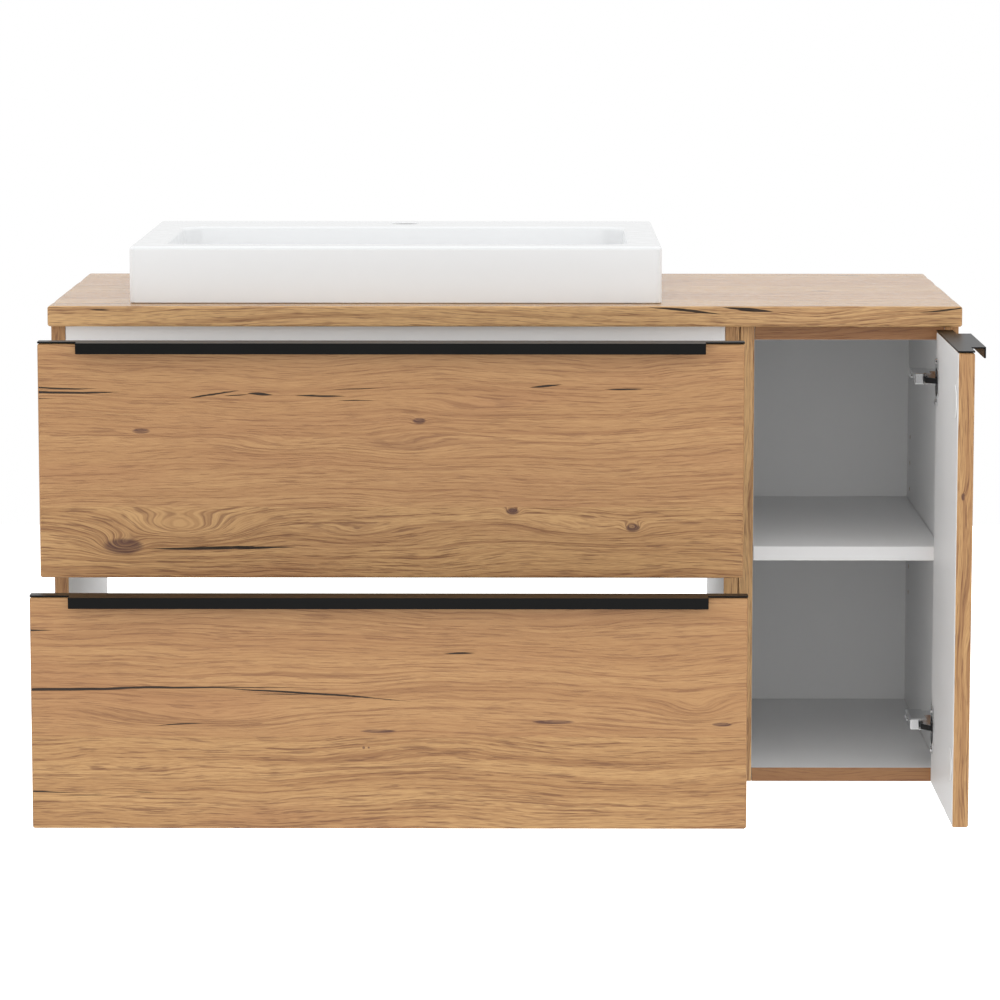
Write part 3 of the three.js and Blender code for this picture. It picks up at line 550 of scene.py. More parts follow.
def lathe(bm, profile, matrix, sides=48):
    """Revolves (radius, height) points about the matrix's Z axis; a zero radius closes to a point."""
    rings = []
    turns = [2 * math.pi * i / sides for i in range(sides)]
    for radius, height in profile:
        if radius < 1e-9:
            ring = [(0, 0, height)]
        else:
            ring = [(radius * math.cos(a), radius * math.sin(a), height) for a in turns]
        rings.append([bm.verts.new(matrix @ Vector(point)) for point in ring])
    for first, second in zip(rings, rings[1:]):
        for i in range(sides):
            j = (i + 1) % sides
            loop = [first[i % len(first)], first[j % len(first)],
                    second[j % len(second)], second[i % len(second)]]
            bm.faces.new([v for n, v in enumerate(loop) if v not in loop[:n]])
    return bm


def cylinder(bm, radius, low, high, matrix, sides):
    return lathe(bm, [(0, low), (radius, low), (radius, high), (0, high)], matrix, sides)


def upright(place):
    """A matrix whose Z axis is vertical, through place."""
    return Matrix.Translation((place.x, place.y, 0))


def facing(direction, place):
    """A matrix whose Z axis points along direction, at place."""
    return Matrix.Translation(Vector(place)) @ Vector(direction).to_track_quat("Z", "Y").to_matrix().to_4x4()


def filleted(points, radius, arc=4):
    """Rounds a closed outline's corners; radius is one number or one for each corner."""
    result = []
    count = len(points)
    for i, here in enumerate(points):
        here = Vector(here)
        r = radius[i] if hasattr(radius, "__len__") else radius
        before, after = Vector(points[i - 1]), Vector(points[(i + 1) % count])
        u, w = (before - here).normalized(), (after - here).normalized()
        half = u.angle(w) / 2
        if r <= 0 or half > math.radians(89):
            result.append(here)
            continue
        reach = r / math.tan(half)
        centre = here + (u + w).normalized() * (r / math.sin(half))
        start, end = here + u * reach - centre, here + w * reach - centre
        turn = math.atan2(start.x * end.y - start.y * end.x, start.dot(end))
        for k in range(arc + 1):
            angle = turn * k / arc
            result.append(centre + Vector((start.x * math.cos(angle) - start.y * math.sin(angle),
                                           start.x * math.sin(angle) + start.y * math.cos(angle))))
    return result


def prism(bm, outline, axis, low, high):
    """Extrudes a closed outline along an axis; the outline is in the other two axes, in XYZ order."""
    k = "xyz".index(axis)
    rings = []
    for level in (low, high):
        ring = []
        for point in outline:
            coords = list(point)
            coords.insert(k, level)
            ring.append(bm.verts.new(coords))
        rings.append(ring)
    bm.faces.new(rings[0])
    bm.faces.new(rings[1])
    for i in range(len(outline)):
        j = (i + 1) % len(outline)
        bm.faces.new([rings[0][i], rings[0][j], rings[1][j], rings[1][i]])
    return bm


SCREW = {}


def screw_mesh(radius):
    """A pan head with a cross recess, its axis along Z and its seat at zero."""
    if radius not in SCREW:
        bm = bmesh.new()
        height = 0.62 * radius
        dome = [(radius * math.cos(a), 0.25 * height + 0.75 * height * math.sin(a))
                for a in (math.radians(d) for d in (0, 18, 36, 54, 70))]
        lathe(bm, [(0, 0), (radius * 0.96, 0), *dome, (0, height)], Matrix.Identity(4), 24)
        tool = bmesh.new()
        arm, half = 0.52 * radius, 0.11 * radius
        cross = [(-half, -arm), (half, -arm), (half, -half), (arm, -half), (arm, half), (half, half),
                 (half, arm), (-half, arm), (-half, half), (-arm, half), (-arm, -half), (-half, -half)]
        prism(tool, cross, "z", 0.35 * height, 2 * height)
        SCREW[radius] = to_mesh("screw", carve(bm, tool))
    return SCREW[radius]


def screws(node, suffix, places, direction, radius, flat=1.0):
    """One piece holding a screw head at each place; flat lowers the heads."""
    bm = bmesh.new()
    for place in places:
        start = len(bm.verts)
        bm.from_mesh(screw_mesh(radius))
        bm.verts.ensure_lookup_table()
        for vert in bm.verts[start:]:
            vert.co = facing(direction, place) @ Vector((vert.co.x, vert.co.y, vert.co.z * flat))
    piece(node, suffix, bm, "nickel", 30, hides=False)


# ---------------------------------------------------------------- boards

WHITE, FACE, EDGE, CORE = range(4)
TAP_HOLE_R = 17.5
WALL_SCREW_R = 4.5 * MM


def side(normal):
    """The board's face that a normal belongs to, such as '-y'."""
    k = max(range(3), key=lambda i: abs(normal[i]))
    return ("+" if normal[k] > 0 else "-") + "xyz"[k]


def board(node, faces, decor=None, edging=None, radius=0.5, arc=2, cuts=(0, 0, 0), worn=0.0, tool=None):
    """A coated board. faces gives the material of some of its sides, and the rest are white."""
    low, high = corners(node)
    bm = rounded_box(bmesh.new(), low, high, radius * MM, arc, cuts,
                     lambda n: faces.get(side(n), WHITE), worn)
    if tool:
        bm = carve(bm, tool, CORE)
    white = FINISH["white_board"]
    piece(node, "board", bm, [white, decor or white, edging or white, FINISH["chipboard"]])


def handle_groove(node):
    """The slot in a front's top edge that takes its handle's tongue."""
    low, high = corners(node)
    thin = 0 if high.x - low.x < 0.1 else 1
    long = 1 - thin
    middle = (low[thin] + high[thin]) / 2
    stop, half_width, depth, above = 19.7 * MM, 1.3 * MM, 8 * MM, 5 * MM
    start, end = Vector(low), Vector(high)
    start[long] += stop
    end[long] -= stop
    start[thin], end[thin] = middle - half_width, middle + half_width
    start.z, end.z = high.z - depth, high.z + above
    return rounded_box(bmesh.new(), start, end, 0.05 * MM, 1)


def drawer_fronts():
    upper = dict(
        knots=[(0.118, 0.135, 26, 11, 22), (0.672, 0.285, 9, 5, 7), (0.843, 0.215, 10, 6, 9),
               (0.146, 0.629, 12, 3.6, 3), (0.54, 0.673, 9, 4.5, 5)],
        swirls=[(0.19, 0.20, 80, 20, 24), (0.527, 0.54, 60, 18, 14), (0.76, 0.20, 62, 13, 13),
                (0.36, 0.57, 60, 9, 7), (0.45, 0.18, 60, 12, 8), (0.62, 0.72, 70, 10, 8)],
        splits=[(-0.06, 0.092, 0.81, 0.812, 1.2, 0), (-0.08, 0.13, 0.79, 0.797, 1.3, 0),
                (-0.05, 0.03, 0.764, 0.766, 0.7, 0), (0.213, 0.287, 0.77, 0.80, 1.4, 0),
                (0.262, 0.302, 0.776, 0.781, 0.9, 0), (0.296, 0.334, 0.786, 0.783, 1.9, 0),
                (0.363, 0.437, 0.781, 0.776, 1.6, 0), (0.41, 0.49, 0.805, 0.81, 0.5, 0),
                (0.42, 0.48, 0.758, 0.762, 0.6, 0), (0.148, 0.37, 0.126, 0.133, 1.7, 0),
                (0.694, 0.744, 0.815, 0.828, 1.1, 0), (0.80, 0.86, 0.806, 0.812, 0.9, 0)],
        seams=[0.305])
    lower = dict(
        knots=[(0.4645, 0.353, 1.9, 1.9, 0), (0.4715, 0.353, 1.4, 1.4, 0), (0.73, 0.465, 26, 2.6, 4),
               (0.485, 0.425, 22, 2.2, 3), (0.965, 0.455, 12, 2.4, 4)],
        swirls=[(0.22, 0.47, 110, 13, 11), (0.93, 0.52, 34, 16, 15), (0.42, 0.62, 100, 22, 10),
                (0.5, 0.29, 90, 9, 6), (0.13, 0.24, 90, 8, 5)],
        splits=[(-0.05, 0.035, 0.857, 0.857, 1.0, 0), (-0.35, 0.42, 0.575, 0.615, 1.3, 2.2),
                (0.24, 0.54, 0.612, 0.552, 1.1, 1.6), (0.31, 0.39, 0.584, 0.583, 0.6, 0),
                (0.17, 0.245, 0.445, 0.457, 0.7, 0.4), (-0.06, 0.07, 0.16, 0.16, 1.0, 0),
                (0.03, 0.115, 0.149, 0.146, 0.7, 0), (0.14, 0.175, 0.16, 0.158, 0.6, 0),
                (0.575, 0.622, 0.757, 0.763, 1.1, 0)],
        seams=[0.4])
    faces = {"-y": FACE, "+z": FACE, "-z": FACE, "-x": EDGE, "+x": EDGE}
    for name, seed, features in (("upper", 3, upper), ("lower", 8, lower)):
        node = f"{name}_drawer_front"
        box = corners(node)
        board(node, faces, oak(node + "_decor", "x", "z", *box, seed, **features),
              oak(node + "_edging", "z", "y", *box, seed + 1), 2.5, 4, (96, 0, 32), 0.9 * MM,
              handle_groove(node))


def door():
    node = "door_panel"
    box = corners(node)
    tool = handle_groove(node)
    radius, deep, before = 17.5 * MM, 17.5 * MM, 5 * MM
    for name in ("upper", "lower"):
        for fitting in ("hinge_cup", "bore_cap"):
            at = middle_of(f"{name}_{fitting}")
            cylinder(tool, radius, 0, deep, facing((1, 0, 0), (box[0].x - before, at.y, at.z)), 64)
    decor = oak("door_decor", "y", "z", *box, 21, knots=[(0.3, 0.62, 12, 7, 9)],
                swirls=[(0.34, 0.6, 60, 24, 18), (0.7, 0.3, 70, 20, 12)],
                splits=[(0.5, 0.9, 0.80, 0.81, 1.2, 1), (-0.2, 0.2, 0.2, 0.2, 1.2, 0)], seams=[0.36, 0.72])
    edging = oak("door_edging", "z", "x", *box, 22, knots=[(0.70, 0.4, 5, 2.5, 3)],
                 swirls=[(0.45, 0.5, 60, 6, 5), (0.68, 0.5, 40, 5, 4)])
    board(node, {"+x": FACE, "+z": FACE, "-z": FACE, "-y": EDGE, "+y": EDGE}, decor, edging,
          2.5, 4, (0, 32, 72), 0.9 * MM, tool)


def worktop():
    node = "worktop"
    low, high = corners(node)
    bm = rounded_box(bmesh.new(), low, high, 3 * MM, 4, (120, 40, 1),
                     lambda n: {"+z": 0, "-z": 0, "-y": 1, "+y": 1}.get(side(n), 2), 1.0 * MM)
    tool = bmesh.new()
    for at, radius in ((middle_of("waste_body"), 42), (tap_axis(), TAP_HOLE_R)):
        cylinder(tool, radius * MM, low.z - 5 * MM, high.z + 5 * MM, upright(at), 64)
    bm = carve(bm, tool, 3)
    top = oak("worktop_decor", "x", "y", low, high, 31, knots=[(0.86, 0.45, 14, 6, 9), (0.74, 0.8, 9, 5, 7)],
              swirls=[(0.8, 0.3, 90, 14, 12), (0.1, 0.6, 90, 14, 10)],
              splits=[(0.885, 0.93, 0.93, 0.925, 3.0, 0), (0.815, 0.87, 0.95, 0.955, 2.0, 0),
                      (0.90, 0.94, 0.74, 0.73, 1.5, 0), (-0.05, 0.06, 0.3, 0.32, 1.2, 0)],
              seams=[0.21, 0.42, 0.61, 0.82], rough=0.19, tint=(FAIR, 0.75))
    front = oak("worktop_front_edging", "x", "z", low, high, 32,
                splits=[(0.655, 0.740, 0.97, 0.62, 1.3, 0.5), (0.735, 0.795, 0.97, 0.72, 1.7, 0.2),
                        (0.950, 1.012, 0.70, 0.99, 0.9, 0), (0.045, 0.07, 0.82, 0.80, 0.7, 0),
                        (0.57, 0.60, 0.6, 0.58, 0.4, 0), (0.30, 0.33, 0.88, 0.86, 0.4, 0)],
                tint=(FAIR, 0.55))
    ends = oak("worktop_end_edging", "y", "z", low, high, 33)
    piece(node, "board", bm, [top, front, ends, FINISH["chipboard"]])


def tap_axis():
    """The tap deck mount's point, above the tap hole."""
    mount = next(m for m in frame["record"]["mounts"] if m["name"] == "tap_deck")
    return Vector((0, *mount["pos_m"][1:]))


def carcass_boards():
    # The edging tints below are painted light. UMBER darkens the sink cabinet's left front edge as painted
    # shade of its recess under the worktop, and FAIR lightens the front edges where the two cabinets meet as
    # painted light for the frontal light that reaches them.
    for name, seed, outer, tint in (("sink_cabinet_left_side", 41, "-x", (UMBER, 0.25)),
                                    ("sink_cabinet_right_side", 43, "+x", (FAIR, 0.35)),
                                    ("side_cabinet_left_side", 45, "-x", (FAIR, 0.6)),
                                    ("side_cabinet_right_side", 47, "+x", None)):
        box = corners(name)
        tool = pin_holes(name, outer) if name.startswith("side_cabinet") else None
        board(name, {outer: FACE, "-y": EDGE, "+z": FACE, "-z": FACE, "+y": CORE},
              oak(name + "_decor", "y", "z", *box, seed, seams=[0.45],
                  swirls=[(0.4, 0.7, 80, 20, 14), (0.6, 0.2, 70, 16, 10)]),
              oak(name + "_edging", "z", "x", *box, seed + 1, swirls=[(0.6, 0.5, 50, 6, 4)], tint=tint),
              tool=tool)
    for name, seed in (("sink_cabinet_bottom", 51), ("side_cabinet_bottom", 53), ("side_cabinet_top", 55)):
        box = corners(name)
        # UMBER darkens these boards' front edges. On the side cabinet's top this is painted shade from the
        # worktop above it. On the bottoms it only makes them darker.
        decor = oak(name + "_decor", "x", "z", *box, seed, swirls=[(0.4, 0.5, 60, 6, 4)], tint=(UMBER, 0.8))
        under = {"-z": FACE} if name.endswith("bottom") else {}
        board(name, {"-y": FACE, "+y": CORE, "-x": CORE, "+x": CORE, **under}, decor)
    for name in ("sink_cabinet_front_rail", "sink_cabinet_lower_back_rail", "shelf"):
        board(name, {"-x": CORE, "+x": CORE} if name != "shelf" else {})
    rail = "sink_cabinet_upper_back_rail"
    tool = bmesh.new()
    for bracket in ("hanging_bracket_left", "hanging_bracket_right"):
        x, z = bracket_screw(bracket)
        cylinder(tool, WALL_SCREW_R, -30 * MM, 10 * MM, facing((0, 1, 0), (x, 0, z)), 32)
    board(rail, {"-x": CORE, "+x": CORE}, tool=tool)
    node = "side_cabinet_back"
    low, high = corners(node)
    bm = rounded_box(bmesh.new(), low, high, 0.3 * MM, 2, (6, 0, 10), lambda n: 0 if side(n) == "-y" else 1)
    piece(node, "sheet", bm, [FINISH["white_board"], FINISH["hardboard"]])


def pin_holes(name, outer):
    """Rows of shelf-pin holes in a side cabinet panel, from its inner face."""
    low, high = corners(name)
    inner, sign = (high.x, -1) if outer == "-x" else (low.x, 1)
    which = "left" if outer == "-x" else "right"
    tool = bmesh.new()
    for row in ("front", "back"):
        pin = middle_of(f"shelf_pin_{row}_{which}")
        for step in range(-3, 4):
            place = (inner, pin.y, pin.z + step * 32 * MM)
            cylinder(tool, 2.8 * MM, -9 * MM, 3 * MM, facing((-sign, 0, 0), place), 20)
    return tool


def drawer_boxes():
    for name in ("upper", "lower"):
        for part in ("left_side", "right_side", "bottom"):
            board(f"{name}_drawer_{part}", {"-z": CORE} if part == "bottom" else {}, radius=0.8)
    board("lower_drawer_back", {}, radius=0.8)
    node = "upper_drawer_back"
    low, high = corners(node)
    guard_low, guard_high = corners("upper_drawer_siphon_guard")
    wall = 4 * MM
    sill = low.z + 32 * MM
    cut = [(guard_low.x + wall, sill), (guard_high.x - wall, sill), (guard_high.x - wall, high.z + 20 * MM),
           (guard_low.x + wall, high.z + 20 * MM)]
    tool = prism(bmesh.new(), filleted(cut, [14 * MM, 14 * MM, 0, 0], 8), "y", low.y - 0.01, high.y + 0.01)
    board(node, {}, radius=0.8, tool=tool)
    siphon_guard(guard_low, guard_high, wall)


def siphon_guard(low, high, wall):
    """A U-shaped plastic wall with a rounded rim round the siphon's space."""
    radius = 49 * MM
    outer = [(low.x, high.y), (low.x, low.y), (high.x, low.y), (high.x, high.y)]
    inner = [(high.x - wall, high.y), (high.x - wall, low.y + wall), (low.x + wall, low.y + wall),
             (low.x + wall, high.y)]
    plan = filleted(outer + inner, [0, radius, radius, 0, 0, radius - wall, radius - wall, 0], 16)
    bm = prism(bmesh.new(), plan, "z", low.z, high.z)
    piece("upper_drawer_siphon_guard", "wall", bm, "white_plastic", bevel=1.4 * MM, steps=3)


def bracket_screw(bracket):
    """Where the wall screw passes a hanging bracket: X and Z."""
    low, high = corners(bracket)
    inward = 1 if low.x < 0 else -1
    corner = low.x if low.x < 0 else high.x
    return corner + inward * 24.9 * MM, (low.z + high.z) / 2


# ---------------------------------------------------------------- handles

def handle(node):
    """An aluminium edge profile: a plate over the front's top edge, a lip to pull and a tongue below."""
    low, high = corners(node)
    across = high.x - low.x > high.y - low.y
    long, thin = (0, 1) if across else (1, 0)
    front = corners("door_panel" if node == "door_handle" else node.replace("handle", "front"))
    plate, cut, lip_h, tongue = 1.7 * MM, 43 * MM, 12 * MM, 8 * MM
    lip_at, inner = (low[1], high[1]) if across else (high[0], low[0])
    outer = front[0][1] if across else front[1][0]
    away = math.copysign(1, lip_at - inner)
    start, end = low[long], high[long]

    def plan(points):
        return points if across else [(b, a) for a, b in points]

    shape = [(start, inner), (end, inner), (end, outer), (end - cut, outer), (end - cut, lip_at),
             (start + cut, lip_at), (start + cut, outer), (start, outer)]
    bm = prism(bmesh.new(), plan(filleted(shape, [0.8 * MM, 0.8 * MM, 1.2 * MM, 0, 0, 0, 0, 1.2 * MM])),
               "z", high.z - plate, high.z)
    lip_low = high.z - lip_h
    lip = [(start + cut, high.z), (start + cut, lip_low), (end - cut, lip_low), (end - cut, high.z)]
    lip_range = sorted((lip_at, lip_at - away * plate))
    lip_plate = prism(bmesh.new(), filleted(lip, [0, 0.9 * MM, 0.9 * MM, 0]), "xy"[thin], *lip_range)
    bm = carve(bm, lip_plate, join=True)
    middle = (inner + outer) / 2
    tongue_box = [Vector((0, 0, high.z - plate - tongue + 0.3 * MM)), Vector((0, 0, high.z - plate / 2))]
    for corner, a, b in zip(tongue_box, (start + 20 * MM, end - 20 * MM), (middle - MM, middle + MM)):
        corner[long], corner[thin] = a, b
    bm = carve(bm, rounded_box(bmesh.new(), *tongue_box, 0.2 * MM, 1), join=True)
    piece(node, "profile", bm, "black_aluminium", bevel=0.32 * MM)


# ---------------------------------------------------------------- basin and waste

def around(x, y, radius, degrees):
    """The point at an angle on a circle about x, y."""
    return x + radius * math.cos(math.radians(degrees)), y + radius * math.sin(math.radians(degrees))


def rectangle_loop(x, y, radius, arc=8, runs=(26, 14)):
    """Points round a rounded rectangle, always the same number, from its right side anticlockwise."""
    points = []
    sides = ((x[1] - radius, y[1] - radius, 0, runs[0]), (x[0] + radius, y[1] - radius, 90, runs[1]),
             (x[0] + radius, y[0] + radius, 180, runs[0]), (x[1] - radius, y[0] + radius, 270, runs[1]))
    for k, (cx, cy, start, run) in enumerate(sides):
        points += [around(cx, cy, radius, start + 90 * i / arc) for i in range(arc + 1)]
        last = points[-1]
        nx, ny, turn, _ = sides[(k + 1) % 4]
        ahead = around(nx, ny, radius, turn)
        points += [(last[0] + (ahead[0] - last[0]) * (i + 1) / (run + 1),
                    last[1] + (ahead[1] - last[1]) * (i + 1) / (run + 1)) for i in range(run)]
    return points


def circle_loop(centre, radius, guide):
    """Points on a circle in the same directions from its centre as the guide loop's points."""
    angles = [math.atan2(y - centre[1], x - centre[0]) for x, y in guide]
    return [(centre[0] + radius * math.cos(a), centre[1] + radius * math.sin(a)) for a in angles]


def basin():
    low, high = corners("basin")
    drain = middle_of("waste_body")
    rim, ledge, drop, wall, draft = 37 * MM, 103 * MM, 44 * MM, 10 * MM, 4 * MM
    bowl_x = (low.x + rim, high.x - rim)
    bowl_y = (low.y + rim, high.y - ledge)
    centre = (drain.x, drain.y)
    floor_z, flange = high.z - drop, 32.3 * MM
    drain_z = floor_z - 6 * MM
    loops = []

    def level(shape, z):
        loops.append([(x, y, z) for x, y in shape])
        return shape

    def outer(inset, z, radius):
        level(rectangle_loop((low.x + inset, high.x - inset), (low.y + inset, high.y - inset), radius), z)

    def bowl(inset, z, radius):
        x, y = ((start + inset, end - inset) for start, end in (bowl_x, bowl_y))
        return level(rectangle_loop(x, y, radius), z)

    def ring(radius, z):
        level(circle_loop(centre, radius, guide), z)

    foot, edge, lip, fillet = 1.2 * MM, 4 * MM, 5 * MM, 12 * MM
    outer(foot, low.z, 6 * MM)
    for s, c in quarter(3):
        outer(foot * (1 - s), low.z + foot * (1 - c), 7 * MM)
    for share in (0.25, 0.5, 0.75):
        outer(0, low.z + foot + share * (high.z - low.z - foot - edge), 7 * MM)
    for s, c in quarter(6):
        outer(edge * (1 - c), high.z - edge * (1 - s), 7 * MM - 0.6 * edge * (1 - c))
    outer(edge + 6 * MM, high.z, 6 * MM)
    bowl(-lip - 5 * MM, high.z, 36 * MM)
    for s, c in quarter(6):
        bowl(-lip * (1 - s), high.z - lip * (1 - c), 26 * MM + lip * (1 - s))
    top_wall, end_wall = high.z - lip, floor_z + fillet
    for share in (0.33, 0.66):
        bowl(draft * share * 0.7, top_wall + (end_wall - top_wall) * share, 26 * MM)
    for s, c in quarter(8):
        inset, radius = draft * (0.7 + 0.3 * s) + fillet * (1 - c), 26 * MM - 0.35 * fillet * (1 - c)
        bowl(inset, floor_z + fillet * (1 - s), radius)
    guide = bowl(draft + fillet + 3 * MM, floor_z, 20 * MM)
    bowl(draft + fillet + 10 * MM, floor_z, 18 * MM)
    dish = 110 * MM
    for i in range(13):
        share = i / 12
        fall = 3 * share ** 2 - 2 * share ** 3
        ring(dish + (flange - dish) * share, floor_z + (drain_z - floor_z) * fall)
    seat, under, hole = drain_z - 3 * MM, low.z + 2 * MM, 23 * MM
    for radius, z in ((flange, seat), (hole, seat), (hole, under), (60 * MM, under)):
        ring(radius, z)
    bowl(draft + 8 * MM, under, 20 * MM)
    for s, c in quarter(5):
        bowl(draft * (1 - 0.2 * s) + 8 * MM - 17 * MM * s, under + 17 * MM * (1 - c), 22 * MM + 10 * MM * s)
    ceiling = high.z - wall
    bowl(-wall, ceiling - 6 * MM, 36 * MM)
    bowl(-wall - 1.8 * MM, ceiling - 1.8 * MM, 37 * MM)
    bowl(-wall - 6 * MM, ceiling, 40 * MM)
    outer(wall + 5 * MM, ceiling, 8 * MM)
    outer(wall + 1.5 * MM, ceiling - 1.5 * MM, 6 * MM)
    outer(wall, ceiling - 5 * MM, 5 * MM)
    outer(wall, low.z + 0.8 * MM, 5 * MM)
    outer(wall - 0.8 * MM, low.z, 5 * MM)

    bm = bmesh.new()
    rings = [[bm.verts.new(p) for p in loop] for loop in loops]
    count = len(rings[0])
    for first, second in zip(rings, rings[1:] + rings[:1]):
        for i in range(count):
            j = (i + 1) % count
            bm.faces.new([first[i], first[j], second[j], second[i]])
    bmesh.ops.remove_doubles(bm, verts=bm.verts, dist=1e-6)
    hole, flare = TAP_HOLE_R * MM, 1.6 * MM
    profile = [(0, high.z - 30 * MM), (hole, high.z - 30 * MM), (hole, high.z - flare)]
    profile += [(hole + flare * (1 - c), high.z - flare * (1 - s)) for s, c in quarter(4)]
    profile += [(hole + flare, high.z + 9 * MM), (0, high.z + 9 * MM)]
    bm = carve(bm, lathe(bmesh.new(), profile, upright(tap_axis()), 64))
    piece("basin", "body", bm, "ceramic", smooth=50)


def mm(profile):
    return [(radius * MM, height * MM) for radius, height in profile]


def waste():
    low, high = corners("waste_body")
    at = upright(middle_of("waste_body"))
    top, bottom = high.z, low.z
    bore, tube, flange = 17.9 * MM, 20.9 * MM, (high.x - low.x) / 2
    profile = [(bore, bottom + 0.6 * MM), (bore + 0.6 * MM, bottom), (tube - 0.9 * MM, bottom)]
    pitch, turns, start = 2 * MM, 28, bottom + MM
    for i in range(turns):
        profile += [(tube - 0.9 * MM, start + i * pitch), (tube, start + (i + 0.5) * pitch)]
    profile += [(tube - 0.4 * MM, start + turns * pitch), (tube - 0.4 * MM, top - 2.7 * MM),
                (flange - 0.3 * MM, top - 2.7 * MM), (flange, top - 2.3 * MM),
                (flange - 0.3 * MM, top - 1.6 * MM), (flange - 2 * MM, top - 0.5 * MM),
                (flange - 4.5 * MM, top), (bore + 2 * MM, top - 0.1 * MM),
                (bore + 0.5 * MM, top - 0.5 * MM), (bore, top - 1.6 * MM), (bore, bottom + 0.6 * MM)]
    bm = lathe(bmesh.new(), profile, at, 72)
    spider, reach = top - 29 * MM, bore + 1.5 * MM
    for turned in (0, 90):
        bar = rounded_box(bmesh.new(), (-reach, -2 * MM, spider - 3 * MM), (reach, 2 * MM, spider + 3 * MM),
                          0.6 * MM)
        bar.transform(at @ Matrix.Rotation(math.radians(turned), 4, "Z"))
        bm = carve(bm, bar, join=True)
    boss = [(0, spider - 7 * MM), (6.4 * MM, spider - 7 * MM), (7 * MM, spider - 6.4 * MM),
            (7 * MM, spider + 4.4 * MM), (6.4 * MM, spider + 5 * MM), (0, spider + 5 * MM)]
    bm = carve(bm, lathe(bmesh.new(), boss, at, 32), join=True)
    bm = carve(bm, cylinder(bmesh.new(), 4.4 * MM, spider - 0.02, spider + 0.02, at, 32))
    piece("waste_body", "fitting", bm, "chrome")

    low, high = corners("waste_plug")
    edge, top, under, stem = (high.x - low.x) / 2, high.z, high.z - 5 * MM, 4 * MM
    profile = [(0, low.z), (stem - 0.8 * MM, low.z), (stem, low.z + 0.8 * MM), (stem, under),
               (edge - 1.4 * MM, under), (edge - 0.4 * MM, under + 0.4 * MM), (edge, under + 1.4 * MM)]
    profile += [(edge - 2 * MM * (1 - c), top - 1.9 * MM + 1.5 * MM * s) for s, c in quarter(6)[1:6]]
    profile += [(edge * share, top - 0.4 * MM * share ** 2) for share in (0.9, 0.7, 0.5, 0.3, 0.12, 0)]
    piece("waste_plug", "cap", lathe(bmesh.new(), profile, at, 72), "chrome")

    low, high = corners("waste_gasket")
    edge, r, hole = (high.x - low.x) / 2, 0.7 * MM, 21.2 * MM
    profile = [(hole, low.z), (edge - r, low.z), (edge, low.z + r), (edge, high.z - r), (edge - r, high.z),
               (hole, high.z), (hole, low.z)]
    piece("waste_gasket", "ring", lathe(bmesh.new(), profile, at, 64), "rubber")

    low, high = corners("waste_nut")
    middle = middle_of("waste_nut")
    corner = max(high.x - low.x, high.y - low.y) / 2
    turn = 0 if high.x - low.x > high.y - low.y else 30
    hexagon = [Vector(around(middle.x, middle.y, corner, 60 * i + turn)) for i in range(6)]
    bm = prism(bmesh.new(), filleted(hexagon, 2 * MM), "z", low.z, high.z)
    bm = carve(bm, cylinder(bmesh.new(), hole, low.z - 0.01, high.z + 0.01, at, 64))
    piece("waste_nut", "hexagon", bm, "white_plastic", bevel=0.7 * MM)


# ---------------------------------------------------------------- metal fittings

def shelf_pins():
    profile = mm([(0, -8), (1.9, -8), (2.5, -7.4), (2.5, 0.3), (4.2, 0.3), (4.5, 0.6), (4.5, 1.5), (4.2, 1.8),
                  (2.5, 1.8), (2.5, 8.4), (1.9, 9), (0, 9)])
    for row in ("front", "back"):
        for which, inward in (("left", 1), ("right", -1)):
            node = f"shelf_pin_{row}_{which}"
            low, high = corners(node)
            middle = (low + high) / 2
            face = low.x + 8 * MM if inward > 0 else high.x - 8 * MM
            at = facing((inward, 0, 0), (face, middle.y, middle.z))
            piece(node, "stud", lathe(bmesh.new(), profile, at, 24), "nickel")


def runner_channel(node, mouth):
    """A rolled steel channel with slots in its web; mouth is the X direction that it opens to."""
    low, high = corners(node)
    web, lips = (low.x, high.x) if mouth > 0 else (high.x, low.x)
    steel = 1.2 * MM
    inside = web + mouth * steel
    shape = [(web, low.z), (web, high.z), (lips, high.z), (lips, high.z - steel), (inside, high.z - steel),
             (inside, low.z + steel), (lips, low.z + steel), (lips, low.z)]
    radii = [r * MM for r in (1.9, 1.9, 0.5, 0.5, 0.7, 0.7, 0.5, 0.5)]
    bm = prism(bmesh.new(), filleted(shape, radii), "y", low.y, high.y)
    tool = bmesh.new()
    middle = (low.z + high.z) / 2
    half_l, half_h = 7 * MM, 2.4 * MM
    for share in (0.12, 0.30, 0.52, 0.74, 0.93):
        y = low.y + share * (high.y - low.y)
        slot = [(y + dy, middle + dz) for dy, dz in ((-half_l, -half_h), (half_l, -half_h),
                                                     (half_l, half_h), (-half_l, half_h))]
        prism(tool, filleted(slot, 2.3 * MM, 6), "x", web - 0.003, web + 0.003)
    piece(node, "channel", carve(bm, tool), "zinc_sheet", bevel=0.2 * MM, steps=1)
    return web, middle, low.y, high.y


def runners():
    for name in ("upper", "lower"):
        for which, outward in (("left", -1), ("right", 1)):
            for member in ("outer", "middle", "inner"):
                node = f"{name}_runner_{which}_{member}"
                mouth = outward if member == "inner" else -outward
                web, z, start, end = runner_channel(node, mouth)
                if member == "middle":
                    continue
                places = [(web + mouth * 1.25 * MM, start + share * (end - start), z)
                          for share in (0.12, 0.52, 0.93)]
                screws(node, "screws", places, (mouth, 0, 0), 3.4 * MM, 0.3 if member == "outer" else 0.8)


